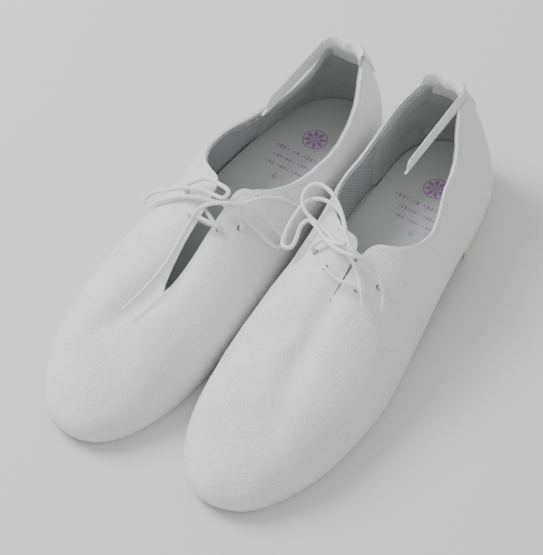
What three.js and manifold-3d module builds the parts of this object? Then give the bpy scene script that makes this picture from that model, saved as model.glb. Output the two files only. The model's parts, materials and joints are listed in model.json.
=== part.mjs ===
// A pair of white soft leather lace-up dance shoes, in millimetres, +Z up.
// Each shoe is built in its own frame: x = 0 on the heel's centre, x > 0 towards the little toe,
// t runs from the toe tip to the heel, z = 0 on the floor. Toes point along -Y.
import * as THREE from 'three';
import { mergeVertices } from 'three/addons/utils/BufferGeometryUtils.js';
import Module from 'manifold-3d';

const wasm = await Module();
wasm.setup();

// ---- Driving dimensions -------------------------------------------------------------------
const LENGTH = 265;            // bottom outline, toe tip to heel
const PAIR_HALF_GAP = 0.6;     // from the pair's middle plane to each shoe's inner side
const INNER_SIDE = 33.2;       // from the heel's centre line to the widest point of the inner side
const RIGHT_SHOE_AHEAD = 5;    // the right shoe stands this much further forward
const PAIR_SHIFT = 2.8;        // puts the pair's middle on the origin, front to back
const SOLE = 2.5;              // outsole thickness
const GAP = 0.3;               // clearance kept between touching pieces
const HEEL_RISE = 9.5;         // height of the outsole's underside above the floor at the heel
const TOP_PIECE = 3.5;         // wearing layer under the heel
const TOE_SPRING = 2.5;
const LEATHER = 1.4;           // upper leather
const LINING = 0.8;            // woven quarter lining, also the leather facings
const COUNTER = 1.0;           // heel stiffener
const MARGIN = 12;             // width of the upper turned under and glued to the insole board
const BOARD = 1.5;
const SOCK = 0.8;
const THROAT = 136;            // where the opening starts, measured from the toe tip
const SLIT_END = 80;           // toe end of the centre slit
const EYELET = 2.6;            // radius of a punched lace hole
const LACE = 2.2;              // lace diameter
const LACE_TIP = 2;            // diameter of the stiff tips
const LACE_STEPS = 78;
const TOPLINES_MEET = -10;     // x where one side's topline takes over from the other
const BEYOND = 120;            // reaches past the shoe on every side
const STATIONS = 22;           // cross-sections along the shoe
const STEPS = 6;               // steps from the sole edge up to the ridge on each side

// Sole edge at equal turns round the foot, toe tip to heel: outer side and inner side.
const OUTER_X = [6, 24, 37.5, 47, 50, 45, 39.5, 35.5, 30, 18, 0];
const INNER_X = [6, -10, -22.5, -30, -32.5, -31, -28.5, -29, -28, -17.5, 0];
// How far the side wall leans out above the sole edge, at the same places.
const OUTER_LEAN = [3, 3, 3, 3, 3, 2.5, 0.5, -5.5, -8.5, -1.5, 0.7];
const INNER_LEAN = [3, 3, 3, 3, 3.5, 4.5, 7, 4, 4, 3.5, 0.7];
// The ridge that both sides meet on, over the toes, instep and ankle: t, z and x.
const RIDGE_T = [30, 50.5, 78, 112, 143, 166, 192, 230];
const RIDGE_Z = [29.5, 37, 40.5, 51, 61.7, 74, 84.5, 94];
const RIDGE_X = [7, 8.5, 7.5, 4, 2, -9, -16, -8];
const LOWER_HANDLE = 0.4;      // share of the wall's height that stays upright
// Share of the top that stays flat, from toe to heel: the collar draws in round the ankle.
const UPPER_HANDLE = [0.86, 0.86, 0.86, 0.86, 0.85, 0.8, 0.85, 0.45, 0.36, 0.48, 0.26];
// Side view of the opening's edge: t and z. The outer side dips lower, under the ankle bone.
const OUTER_TOPLINE = [[134.5, 67], [137, 63], [142, 61], [150, 58], [160, 55], [170, 53.5], [185, 54],
  [200, 53.5], [210, 52.5], [218, 54], [224, 58], [232, 67], [239, 76], [265, 79]];
const INNER_TOPLINE = [[134.5, 67], [137, 63], [142, 61], [150, 59], [160, 57.5], [170, 56.5], [180, 55.5],
  [190, 54], [200, 54.5], [210, 58], [220, 64], [230, 72], [239, 77], [265, 79]];

// ---- Curves -------------------------------------------------------------------------------
// Uniform Catmull-Rom through a list of numbers, with i running over the list's places.
function through(values, i) {
  const last = values.length - 1;
  const k = Math.min(Math.max(Math.floor(i), 0), last - 1);
  const f = i - k;
  const at = (n) => (n < 0 ? 2 * values[0] - values[1]
    : n > last ? 2 * values[last] - values[last - 1] : values[n]);
  const [a, b, c, d] = [at(k - 1), at(k), at(k + 1), at(k + 2)];
  return b + 0.5 * f * (c - a + f * (2 * a - 5 * b + 4 * c - d + f * (3 * (b - c) + d - a)));
}

// The outline is one closed curve round the foot, so both sides run smoothly through its ends.
function around(outer, inner, turn) {
  const ring = [inner[1], ...outer, inner[9]];
  const other = [outer[1], ...inner, outer[9]];
  const place = Math.abs(turn) / Math.PI * 10;
  return through(turn >= 0 ? ring : other, place + 1);
}

const station = (turn) => LENGTH * (1 - Math.cos(turn)) / 2;
const smooth = (v) => { const c = Math.min(Math.max(v, 0), 1); return c * c * (3 - 2 * c); };
const underside = (t) => HEEL_RISE * smooth((t - 112) / 78) + TOE_SPRING * Math.max(0, 1 - t / 18) ** 2;
const seat = (t) => underside(t) + SOLE + GAP;       // where the upper's turned edge starts

function edgePoint(turn) {
  return new THREE.Vector2(around(OUTER_X, INNER_X, turn), station(Math.abs(turn)));
}

function edgeNormal(turn) {
  const step = 0.02;
  const wrap = (v) => (v > Math.PI ? v - 2 * Math.PI : v < -Math.PI ? v + 2 * Math.PI : v);
  const along = edgePoint(wrap(turn + step)).sub(edgePoint(wrap(turn - step))).normalize();
  return new THREE.Vector2(along.y, -along.x);
}

function ridgePlace(t) {
  let k = 0;
  while (k < RIDGE_T.length - 2 && t > RIDGE_T[k + 1]) k += 1;
  return k + (t - RIDGE_T[k]) / (RIDGE_T[k + 1] - RIDGE_T[k]);
}

// A point of the foot-shaped outside, rise = 0 on the sole edge and 1 on the ridge.
function skin(turn, rise) {
  const edge = edgePoint(turn);
  const normal = edgeNormal(turn);
  const lean = around(OUTER_LEAN, INNER_LEAN, turn);
  const share = edge.y / LENGTH;
  const flat = through(UPPER_HANDLE, Math.abs(turn) / Math.PI * 10);
  const first = RIDGE_T[0];
  const last = RIDGE_T[RIDGE_T.length - 1];
  const t = first + share * (last - first);
  const ridgeZ = (v) => through(RIDGE_Z, ridgePlace(Math.min(Math.max(v, first), last)));
  const top = new THREE.Vector3(through(RIDGE_X, ridgePlace(t)), t, ridgeZ(t));
  const slope = (ridgeZ(t + 4) - ridgeZ(t - 4)) / (Math.min(t + 4, last) - Math.max(t - 4, first));
  const base = new THREE.Vector3(edge.x, edge.y, seat(edge.y));
  const across = new THREE.Vector2(base.x - top.x, base.y - top.y).multiplyScalar(flat);
  const low = new THREE.Vector3(
    base.x + normal.x * lean, base.y + normal.y * lean, base.z + LOWER_HANDLE * (top.z - base.z));
  const high = new THREE.Vector3(top.x + across.x, top.y + across.y, top.z + slope * across.y);
  return new THREE.CubicBezierCurve3(base, low, high, top).getPoint(rise);
}

function skinNormal(turn, rise) {
  const side = turn >= 0 ? 1 : -1;
  const a = Math.min(Math.max(Math.abs(turn), 0.03), Math.PI - 0.03);
  const r = Math.min(rise, 0.97);
  const du = skin(side * (a + 0.02), r).sub(skin(side * (a - 0.02), r)).multiplyScalar(side);
  const dv = skin(side * a, r + 0.02).sub(skin(side * a, Math.max(r - 0.02, 0)));
  const normal = du.cross(dv).normalize();
  if (Math.abs(turn) < 0.03 || Math.abs(turn) > Math.PI - 0.03) {
    normal.x = 0;
  }
  return normal.normalize();
}

// ---- Solids -------------------------------------------------------------------------------
function toSolid(geometry) {
  const bare = geometry.clone();
  for (const name of Object.keys(bare.attributes)) {
    if (name !== 'position') bare.deleteAttribute(name);
  }
  const merged = mergeVertices(bare, 1e-4);
  const triVerts = [];
  const index = merged.index.array;
  for (let i = 0; i < index.length; i += 3) {
    const [a, b, c] = [index[i], index[i + 1], index[i + 2]];
    if (a !== b && b !== c && c !== a) triVerts.push(a, b, c);
  }
  return new wasm.Manifold(new wasm.Mesh({
    numProp: 3,
    vertProperties: new Float32Array(merged.attributes.position.array),
    triVerts: new Uint32Array(triVerts),
  }));
}

function toGeometry(solid) {
  const mesh = solid.getMesh();
  const geometry = new THREE.BufferGeometry();
  geometry.setAttribute('position', new THREE.BufferAttribute(mesh.vertProperties, 3));
  geometry.setIndex(new THREE.BufferAttribute(mesh.triVerts, 1));
  return geometry;
}

// A closed surface from a grid of points: rows[j][i], closed by joining each row's ends.
function loft(rows) {
  const positions = [];
  const index = [];
  const width = rows[0].length;
  rows.forEach((row) => row.forEach((p) => positions.push(p.x, p.y, p.z)));
  for (let j = 0; j + 1 < rows.length; j += 1) {
    for (let i = 0; i < width; i += 1) {
      const a = j * width + i;
      const b = j * width + (i + 1) % width;
      index.push(a, b + width, b, a, a + width, b + width);
    }
  }
  const geometry = new THREE.BufferGeometry();
  geometry.setAttribute('position', new THREE.Float32BufferAttribute(positions, 3));
  geometry.setIndex(index);
  return toSolid(geometry);
}

// The foot shape, drawn in by inset and with its underside raised by lift.
function footForm(inset, lift) {
  const rows = [];
  for (let j = 0; j <= STATIONS; j += 1) {
    const turn = Math.PI * j / STATIONS;
    const row = [];
    for (let i = 0; i <= 2 * STEPS; i += 1) {
      const side = i <= STEPS ? 1 : -1;
      const rise = (i <= STEPS ? i : 2 * STEPS - i) / STEPS;
      const signed = j === 0 || j === STATIONS ? turn : side * turn;
      const point = skin(signed, rise);
      const normal = i === STEPS ? new THREE.Vector3(0, 0, 1) : skinNormal(signed, rise);
      if (rise === 0) normal.setZ(0).normalize();
      point.addScaledVector(normal, -inset);
      if (rise === 0) point.z += lift;
      row.push(point);
    }
    rows.push(row);
  }
  return loft(rows);
}

// A flat layer following the sole: drawn in by inset, between two height functions of t.
function soleLayer(inset, low, high, from = 0, to = LENGTH) {
  const rows = [];
  const count = STATIONS;
  const startTurn = Math.acos(1 - 2 * from / LENGTH);
  const endTurn = Math.acos(1 - 2 * to / LENGTH);
  for (let j = 0; j <= count; j += 1) {
    const turn = startTurn + (endTurn - startTurn) * j / count;
    const place = (side) => {
      const signed = turn < 1e-6 || turn > Math.PI - 1e-6 ? turn : side * turn;
      return edgePoint(signed).addScaledVector(edgeNormal(signed), -inset);
    };
    const [outer, inner] = [place(1), place(-1)];
    rows.push([
      new THREE.Vector3(outer.x, outer.y, low(outer.y)), new THREE.Vector3(outer.x, outer.y, high(outer.y)),
      new THREE.Vector3(inner.x, inner.y, high(inner.y)), new THREE.Vector3(inner.x, inner.y, low(inner.y)),
    ]);
  }
  const closed = [rows[0].map(() => rows[0][0]), ...rows, rows[0].map(() => rows[rows.length - 1][0])];
  return loft(closed);
}

function block(x0, x1, t0, t1, z0, z1) {
  const geometry = new THREE.BoxGeometry(x1 - x0, t1 - t0, z1 - z0);
  geometry.translate((x0 + x1) / 2, (t0 + t1) / 2, (z0 + z1) / 2);
  return toSolid(geometry);
}

// Everything above one side's topline, lowered by drop, from x0 to x1.
function aboveTopline(topline, drop, x0, x1) {
  const shape = new THREE.Shape();
  shape.moveTo(topline[0][0], BEYOND);
  topline.forEach(([t, z]) => shape.lineTo(t, z - drop));
  shape.lineTo(topline[topline.length - 1][0], BEYOND);
  const geometry = new THREE.ExtrudeGeometry(shape, { depth: x1 - x0, bevelEnabled: false });
  geometry.translate(0, 0, x0);
  geometry.applyMatrix4(new THREE.Matrix4().makeBasis(
    new THREE.Vector3(0, 1, 0), new THREE.Vector3(0, 0, 1), new THREE.Vector3(1, 0, 0)));
  return toSolid(geometry);
}

function openingSpace(drop) {
  return aboveTopline(OUTER_TOPLINE, drop, TOPLINES_MEET, BEYOND)
    .add(aboveTopline(INNER_TOPLINE, drop, -BEYOND, TOPLINES_MEET + 0.01));
}

// The centre slit, seen from above: narrow at the toe end, wider at the throat.
function slitSpace(middle, halfGap) {
  const shape = new THREE.Shape();
  shape.moveTo(middle, SLIT_END);
  shape.lineTo(middle + halfGap * 0.6, SLIT_END + 12);
  shape.lineTo(middle + halfGap, THROAT - 10);
  shape.lineTo(middle + halfGap + 1, THROAT + 12);
  shape.lineTo(middle - halfGap - 1, THROAT + 12);
  shape.lineTo(middle - halfGap, THROAT - 10);
  shape.lineTo(middle - halfGap * 0.6, SLIT_END + 12);
  const geometry = new THREE.ExtrudeGeometry(shape, { depth: 70, bevelEnabled: false });
  geometry.translate(0, 0, 28);
  return toSolid(geometry);
}

// A punched hole square to the leather at a place seen from above.
function eyeletSpace([x, t]) {
  const probe = new THREE.Raycaster(new THREE.Vector3(x, t, 200), new THREE.Vector3(0, 0, -1));
  const [hit] = probe.intersectObject(outside);
  const geometry = new THREE.CylinderGeometry(EYELET, EYELET, 14, 10);
  geometry.applyQuaternion(new THREE.Quaternion().setFromUnitVectors(
    new THREE.Vector3(0, 1, 0), hit.face.normal));
  geometry.translate(hit.point.x, hit.point.y, hit.point.z);
  return toSolid(geometry);
}

const FACING_START = 110;      // toe end of the leather facings behind the lace holes
const FACING_WIDTH = 26;       // to each side of the slit
const FACING_LOW = 46;
const COUNTER_START = 208;     // the heel stiffener and heel grip run from here to the back
const COUNTER_DROP = 6;        // the stiffener ends this far below the topline
const LINING_DROP = 0.4;
const HEEL_FRONT = 203;
const TAB_MIDDLE = -4.5;
const TAB_WIDTH = 24;
const TAB_LEATHER = 1.2;
const TAB_LOW = 56;
const TAB_TOP = 82;
const WALL = LEATHER + GAP + COUNTER + GAP + LINING;
const OPEN_BOTTOM = 0.5;       // a lining's inside reaches below its outside, so it has no floor
const BOARD_INSET = 1.2;       // the board stops this far short of the leaning heel wall

const outsideForm = footForm(0, 0);
const outside = new THREE.Mesh(toGeometry(outsideForm), new THREE.MeshStandardMaterial());
const leatherInside = footForm(LEATHER, LEATHER);
const layerOutside = footForm(LEATHER + GAP, LEATHER + GAP);
const liningInside = footForm(LEATHER + GAP + LINING, OPEN_BOTTOM);
const counterInside = footForm(LEATHER + GAP + COUNTER, OPEN_BOTTOM);
const gripOutside = footForm(WALL - LINING, LEATHER + GAP);
const gripInside = footForm(WALL, OPEN_BOTTOM);

function shoePieces({ slitMiddle, slitHalfGap, eyelets }) {
  const slit = slitSpace(slitMiddle, slitHalfGap);
  const open = openingSpace(0);
  const lowOpen = openingSpace(LINING_DROP);
  const holes = eyelets.map(eyeletSpace);
  const cut = (solid, ...spaces) => spaces.reduce((left, space) => left.subtract(space), solid);
  const wide = (t0, t1, x0 = -BEYOND, x1 = BEYOND) => block(x0, x1, t0, t1, -BEYOND, BEYOND);
  const marginHole = soleLayer(MARGIN + 1, (t) => seat(t) - 2, (t) => seat(t) + 4);

  const upper = cut(outsideForm, leatherInside, marginHole, open, slit, ...holes);
  const layer = cut(layerOutside, liningInside, lowOpen, slitSpace(slitMiddle, slitHalfGap + GAP), ...holes);
  const facingZone = wide(FACING_START, THROAT + 30, slitMiddle - FACING_WIDTH, slitMiddle + FACING_WIDTH)
    .subtract(block(-BEYOND, BEYOND, 0, LENGTH, -BEYOND, FACING_LOW));
  const facingRoom = wide(FACING_START - GAP, THROAT + 31, slitMiddle - FACING_WIDTH - GAP,
    slitMiddle + FACING_WIDTH + GAP).subtract(block(-BEYOND, BEYOND, 0, LENGTH, -BEYOND, FACING_LOW - GAP));
  const facings = layer.intersect(facingZone);
  const cloth = layer.subtract(facingRoom);
  const counter = cut(layerOutside, counterInside, gripOutside, openingSpace(COUNTER_DROP))
    .intersect(wide(COUNTER_START, 280));
  const grip = cut(gripOutside, gripInside, lowOpen).intersect(wide(COUNTER_START, 280));

  const aboveBoard = (t) => seat(t) + LEATHER + GAP;
  const wallRoom = WALL + GAP + BOARD_INSET;
  const tab = footForm(-GAP - TAB_LEATHER, 0).subtract(footForm(WALL + GAP + TAB_LEATHER, 0))
    .intersect(block(TAB_MIDDLE - TAB_WIDTH / 2, TAB_MIDDLE + TAB_WIDTH / 2, 215, 290, TAB_LOW, TAB_TOP));
  const tabRoom = footForm(-GAP, 0).subtract(footForm(WALL + GAP, 0)).subtract(openingSpace(-GAP));
  return {
    outsole: soleLayer(1, underside, (t) => underside(t) + SOLE),
    heel_lift: soleLayer(1.6, () => TOP_PIECE + GAP, (t) => underside(t) - GAP, HEEL_FRONT),
    heel_top_piece: soleLayer(1.6, () => 0, () => TOP_PIECE, HEEL_FRONT),
    bottom_filler: soleLayer(MARGIN + 1.5, seat, (t) => seat(t) + LEATHER - 0.1),
    insole_board: soleLayer(wallRoom, aboveBoard, (t) => aboveBoard(t) + BOARD),
    sock: soleLayer(wallRoom, (t) => aboveBoard(t) + BOARD + GAP, (t) => aboveBoard(t) + BOARD + GAP + SOCK),
    upper,
    vamp_lining: cloth.intersect(wide(-10, FACING_START - GAP)),
    quarter_lining_outer: cloth.intersect(wide(FACING_START, COUNTER_START - GAP, slitMiddle)),
    quarter_lining_inner: cloth.intersect(wide(FACING_START, COUNTER_START - GAP, -BEYOND, slitMiddle)),
    eyelet_facing_outer: facings.intersect(wide(0, LENGTH, slitMiddle)),
    eyelet_facing_inner: facings.intersect(wide(0, LENGTH, -BEYOND, slitMiddle)),
    heel_counter: counter,
    heel_grip: grip,
    pull_tab: tab.subtract(tabRoom),
  };
}

// ---- Laces --------------------------------------------------------------------------------
// Each lace runs tip, knot, loop, knot, through its four holes, knot, loop, knot, tip.
// The first and last stretch of a route are the stiff tips.
const RIGHT_ROUTE = [
  [-4, 22.2, 43.5], [-10.4, 14.6, 54.5], [-17.2, 6, 59.6], [-22.5, -2, 60], [-27.5, -8, 60.5],
  [-34, -10, 61], [-43, -11, 59.5], [-56.5, -13, 54.5], [-68, -15.5, 46], [-77, -16, 36],
  [-79.5, -14.5, 37.5], [-79.5, -11, 38.5], [-64.5, -12.5, 54], [-52, -10, 61], [-40.5, -9.5, 64.5],
  [-31.5, -9.5, 65.5], [-30.5, -6, 67.5], [-37.5, -4, 67], [-46.5, -3, 65], [-57, -8.5, 56.5],
  [-53.5, -6.5, 50], [-42, -11, 50.5], [-30, -17, 49], [-28, -20, 55.5], [-37.5, -21, 57],
  [-46.5, -20, 56], [-45, -17, 49], [-35, -14, 45.5], [-22.5, -10, 48], [-18.5, -12.5, 54],
  [-25.5, -6.5, 61.5], [-30, -9.5, 63.5], [-26.5, -13, 62], [-20.5, -11, 60], [-15, -8.5, 53.5],
  [-9, -6.5, 45.5], [-4, -2, 36.5], [-2.5, 2.5, 36.5], [-6.5, 1.5, 44.5], [-12, -1, 54.5],
  [-17.5, -4.5, 62], [-23, -9, 65.5], [-28.5, -12.5, 66.5], [-36, -15, 63.5], [-40.5, -19, 60],
  [-42, -24.5, 55], [-42, -36, 49.5], [-41.5, -46.5, 46], [-42.5, -60.5, 42.5], [-44, -70.5, 40.5],
  [-45.5, -80.5, 40],
];
const LEFT_ROUTE = [
  [64.5, -21, 46.5], [59, -20.5, 50.5], [54.5, -16, 55.5], [48, -9, 58], [42, -5, 60.5],
  [36, -2.5, 62], [28, 0.5, 62], [16, 8, 56.5], [6.5, 9.5, 59], [1, 14, 61.5], [0, 19.5, 64],
  [3, 23.5, 66], [10, 23, 67.5], [19.5, 17.5, 68], [28, 9.5, 68], [36, 0, 69], [42, -4.5, 67.5],
  [47.5, -4, 64.5], [52.5, -4, 60], [60.5, -6.5, 54], [56.5, -4.5, 47.5], [45, -8, 50.5],
  [31.5, -10, 50], [30, -13, 57], [41, -17, 57], [51.5, -15, 55], [49.5, -12, 48], [38, -8, 45.5],
  [23, -3, 49], [19, -5.5, 55], [23.5, -0.5, 60], [31.5, -3, 64.5], [36.5, -2.5, 67], [34, 1.5, 69.5],
  [26, 12.5, 65], [18, 18, 63.5], [9.5, 19, 62.5], [2, 17.5, 58], [0, 12, 55], [0, 4.5, 53],
  [1.5, -4, 51], [4, -9, 50.5], [8, -8.5, 51], [8, -2.5, 52.5], [6.5, 4, 54.5], [8.5, 8, 56.5],
  [18.5, 3.5, 57.5], [33, -6.5, 65.5], [44.5, -8.5, 69], [50, -5, 66], [56.5, -4.5, 61],
  [61.5, -7, 56], [64, -10, 50.5], [66, -15, 46.5],
];

function octagon(radius) {
  const shape = new THREE.Shape();
  for (let k = 0; k < 8; k += 1) {
    const angle = Math.PI * k / 4;
    const [x, y] = [radius * Math.cos(angle), radius * Math.sin(angle)];
    if (k === 0) shape.moveTo(x, y);
    else shape.lineTo(x, y);
  }
  return shape;
}

function rod(from, to, radius) {
  const extrudePath = new THREE.LineCurve3(from, to);
  return toSolid(new THREE.ExtrudeGeometry(octagon(radius), { steps: 1, extrudePath }));
}

function lacePieces(route) {
  const points = route.map(([x, y, z]) => new THREE.Vector3(x, y, z));
  const cord = points.slice(1, -1);
  const extrudePath = new THREE.CatmullRomCurve3(cord);
  const tip = (inner, outer) => {
    const away = outer.clone().sub(inner).normalize();
    return rod(inner.clone().addScaledVector(away, 3 * GAP), outer, LACE_TIP / 2);
  };
  return {
    lace: toSolid(new THREE.ExtrudeGeometry(octagon(LACE / 2), { steps: LACE_STEPS, extrudePath })),
    lace_tip_first: tip(points[1], points[0]),
    lace_tip_last: tip(points[points.length - 2], points[points.length - 1]),
  };
}

const LOOKS = {
  outsole: [0xd9d8d2, 0.6], heel_lift: [0xd6d4cd, 0.6], heel_top_piece: [0xcfcdc6, 0.7],
  bottom_filler: [0xb9a88c, 0.95], insole_board: [0xc7b08a, 0.9], sock: [0xc4c6c6, 0.6],
  upper: [0xe6e7e6, 0.5], vamp_lining: [0xa6aaa8, 0.9], quarter_lining_outer: [0x9c9aa0, 0.9],
  quarter_lining_inner: [0x9c9aa0, 0.9], eyelet_facing_outer: [0xdcdddb, 0.6],
  eyelet_facing_inner: [0xdcdddb, 0.6], heel_counter: [0xbfae92, 0.8], heel_grip: [0xaeb0b0, 0.85],
  pull_tab: [0xeaebea, 0.5], lace: [0xf0f0ef, 0.7], lace_tip_first: [0xf4f4f4, 0.3],
  lace_tip_last: [0xf4f4f4, 0.3],
};

const SHOES = [
  {
    name: 'right', side: -1, ahead: RIGHT_SHOE_AHEAD, slitMiddle: 3.5, slitHalfGap: 4.5,
    eyelets: [[12, 119], [22, 130], [-5, 119], [-13.5, 126]], route: RIGHT_ROUTE,
  },
  {
    name: 'left', side: 1, ahead: 0, slitMiddle: 8, slitHalfGap: 0.8,
    eyelets: [[17, 119], [25, 127], [-3, 121], [-13, 128]], route: LEFT_ROUTE,
  },
];

const pair = new THREE.Group();

function addPieces(shoe, pieces, place) {
  for (const [name, solid] of Object.entries(pieces)) {
    const [color, roughness] = LOOKS[name];
    const mesh = new THREE.Mesh(toGeometry(solid), new THREE.MeshStandardMaterial({ color, roughness }));
    mesh.name = `${shoe.name}_${name}`;
    place(mesh);
    pair.add(mesh);
  }
}

for (const shoe of SHOES) {
  addPieces(shoe, shoePieces(shoe), (mesh) => {
    mesh.scale.x = shoe.side;
    mesh.position.set(shoe.side * (INNER_SIDE + PAIR_HALF_GAP), PAIR_SHIFT - shoe.ahead - LENGTH / 2, 0);
  });
  addPieces(shoe, lacePieces(shoe.route), (mesh) => mesh.position.setY(PAIR_SHIFT));
}

export default pair;
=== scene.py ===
# %% [markdown]
# # A pair of soft leather lace-up dance shoes
#
# Each shoe is one piece of soft white leather, closed by a lace over a centre slit, with a cloth lining, a
# printed sock, a full sole and a low heel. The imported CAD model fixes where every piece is. This file makes
# the same pieces again with the finish of the real ones: smooth walls that sag and crease, raw edges,
# stitches, ribbed cloth and braided laces.

# %% Load the frame
import json
import math

import bmesh
import bpy
import numpy as np
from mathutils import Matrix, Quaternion, Vector, noise
from mathutils.bvhtree import BVHTree

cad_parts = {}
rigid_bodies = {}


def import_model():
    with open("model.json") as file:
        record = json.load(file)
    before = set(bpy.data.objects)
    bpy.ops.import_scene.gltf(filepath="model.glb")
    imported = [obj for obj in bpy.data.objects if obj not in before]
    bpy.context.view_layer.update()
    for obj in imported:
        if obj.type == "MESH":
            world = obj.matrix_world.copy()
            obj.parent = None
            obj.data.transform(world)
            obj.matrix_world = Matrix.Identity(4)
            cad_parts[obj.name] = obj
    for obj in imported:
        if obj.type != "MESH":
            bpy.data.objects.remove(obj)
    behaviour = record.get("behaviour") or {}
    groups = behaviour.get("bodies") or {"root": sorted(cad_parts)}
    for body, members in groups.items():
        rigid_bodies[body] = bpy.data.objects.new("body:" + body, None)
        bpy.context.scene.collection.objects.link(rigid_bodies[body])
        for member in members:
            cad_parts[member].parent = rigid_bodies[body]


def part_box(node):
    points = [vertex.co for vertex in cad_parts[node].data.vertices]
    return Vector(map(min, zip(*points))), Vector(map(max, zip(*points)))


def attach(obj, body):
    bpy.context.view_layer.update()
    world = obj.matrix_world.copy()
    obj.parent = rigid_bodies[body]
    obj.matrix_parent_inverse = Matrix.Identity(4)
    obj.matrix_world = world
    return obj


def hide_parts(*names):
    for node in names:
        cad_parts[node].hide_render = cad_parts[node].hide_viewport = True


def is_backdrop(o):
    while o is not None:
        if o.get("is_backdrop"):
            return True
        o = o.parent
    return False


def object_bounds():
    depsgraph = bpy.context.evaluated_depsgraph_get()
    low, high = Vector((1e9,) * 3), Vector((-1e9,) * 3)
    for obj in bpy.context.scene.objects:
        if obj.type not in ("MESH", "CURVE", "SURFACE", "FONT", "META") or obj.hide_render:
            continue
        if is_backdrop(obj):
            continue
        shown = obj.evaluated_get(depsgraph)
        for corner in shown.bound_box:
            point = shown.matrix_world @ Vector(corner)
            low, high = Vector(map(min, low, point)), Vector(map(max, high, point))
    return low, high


for leftover in list(bpy.data.objects):
    bpy.data.objects.remove(leftover)
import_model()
cad_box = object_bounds()
MM = 0.001
SIDES = {"right": -1, "left": 1}
print("CAD box in mm:", [[round(v / MM, 1) for v in corner] for corner in cad_box])

# %% [markdown]
# ## Camera
#
# The pair is seen from above its toes and a little from the right. A long lens a metre away keeps the
# shoes' proportions. The camera is aimed with one rotation: its own Z axis points
# back from the aim, and a small roll follows.

# %% Camera
AIM = Vector((-2.84, -6.61, 20.1)) * MM
AZIMUTH = math.radians(33.66)
ELEVATION = math.radians(51.8)
ROLL = math.radians(-0.65)
DISTANCE = 965.3 * MM
LENS = 120.4

back = Vector((math.sin(AZIMUTH) * math.cos(ELEVATION), -math.cos(AZIMUTH) * math.cos(ELEVATION),
               math.sin(ELEVATION)))
camera = bpy.data.objects.new("camera", bpy.data.cameras.new("camera"))
camera.data.lens = LENS
camera.location = AIM + DISTANCE * back
camera.rotation_mode = "QUATERNION"
camera.rotation_quaternion = back.to_track_quat("Z", "Y") @ Quaternion((0, 0, 1), ROLL)
bpy.context.scene.collection.objects.link(camera)
bpy.context.scene.camera = camera
print("camera at", [round(v, 3) for v in camera.location])

# %% [markdown]
# ## Mesh helpers
#
# Every piece ends as a plain mesh in metres with its object at the origin. Thin goods such as leather and
# cloth start as one sheet; the wall comes from a copy of the sheet moved along the normals, and a rim that
# joins both along their open edges. Doing this by hand, not with a modifier, keeps each layer exactly in
# the space between its neighbours.

# %% Mesh helpers
def make_mesh(name, points, faces, cloth=None, sharp=40):
    """A new object from points in metres. cloth is one (u, v) per point, also in metres."""
    mesh = bpy.data.meshes.new(name)
    mesh.from_pydata(np.asarray(points, float).tolist(), [], [list(map(int, face)) for face in faces])
    mesh.validate()
    mesh.polygons.foreach_set("use_smooth", np.ones(len(mesh.polygons), bool))
    mesh.set_sharp_from_angle(angle=math.radians(sharp))
    if cloth is not None:
        corner = np.zeros(len(mesh.loops), int)
        mesh.loops.foreach_get("vertex_index", corner)
        layer = mesh.uv_layers.new(name="cloth")
        layer.data.foreach_set("uv", np.asarray(cloth, np.float32)[corner].ravel())
    piece = bpy.data.objects.new(name, mesh)
    bpy.context.scene.collection.objects.link(piece)
    return piece


def thicken(outer, inner, faces):
    """Closes two matching sheets into one wall: returns its points and faces."""
    count = len(outer)
    used = {}
    for face in faces:
        for a, b in zip(face, [*face[1:], face[0]]):
            used[(a, b)] = used.get((a, b), 0) + 1
    rim = [(b, a, a + count, b + count) for a, b in used if (b, a) not in used]
    inside = [[k + count for k in reversed(face)] for face in faces]
    return np.concatenate((outer, inner)), [*faces, *inside, *rim]


def merge_close(piece, sharp=40):
    """Joins points that meet, and turns every face of a closed piece outwards."""
    work = bmesh.new()
    work.from_mesh(piece.data)
    bmesh.ops.remove_doubles(work, verts=work.verts, dist=0.004 * MM)
    bmesh.ops.dissolve_degenerate(work, edges=work.edges, dist=0.002 * MM)
    bmesh.ops.recalc_face_normals(work, faces=work.faces)
    work.to_mesh(piece.data)
    work.free()
    piece.data.set_sharp_from_angle(angle=math.radians(sharp))


def finish_piece(piece, side, node, material):
    """Puts the piece on its shoe, in place of a CAD node, with its finish."""
    piece.data.materials.append(material)
    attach(piece, f"{side}_shoe")
    if node:
        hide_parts(f"{side}_{node}")
    return piece

# %% [markdown]
# ## Laces
#
# A dance shoe lace is a thin round braid. Each lace here is about 470 mm long between its two stiff tips. It
# is tied in a bow, so its route goes from a free end through the knot, round one loop, back through
# the knot, across the slit in the eyelets, and out the same way. A bow this short is held by its own
# stiffness, so a modelled route works better than a cloth simulation: the points are the CAD route's, joined
# by a centripetal Catmull-Rom curve, which doesn't overshoot where points lie close together.

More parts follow.
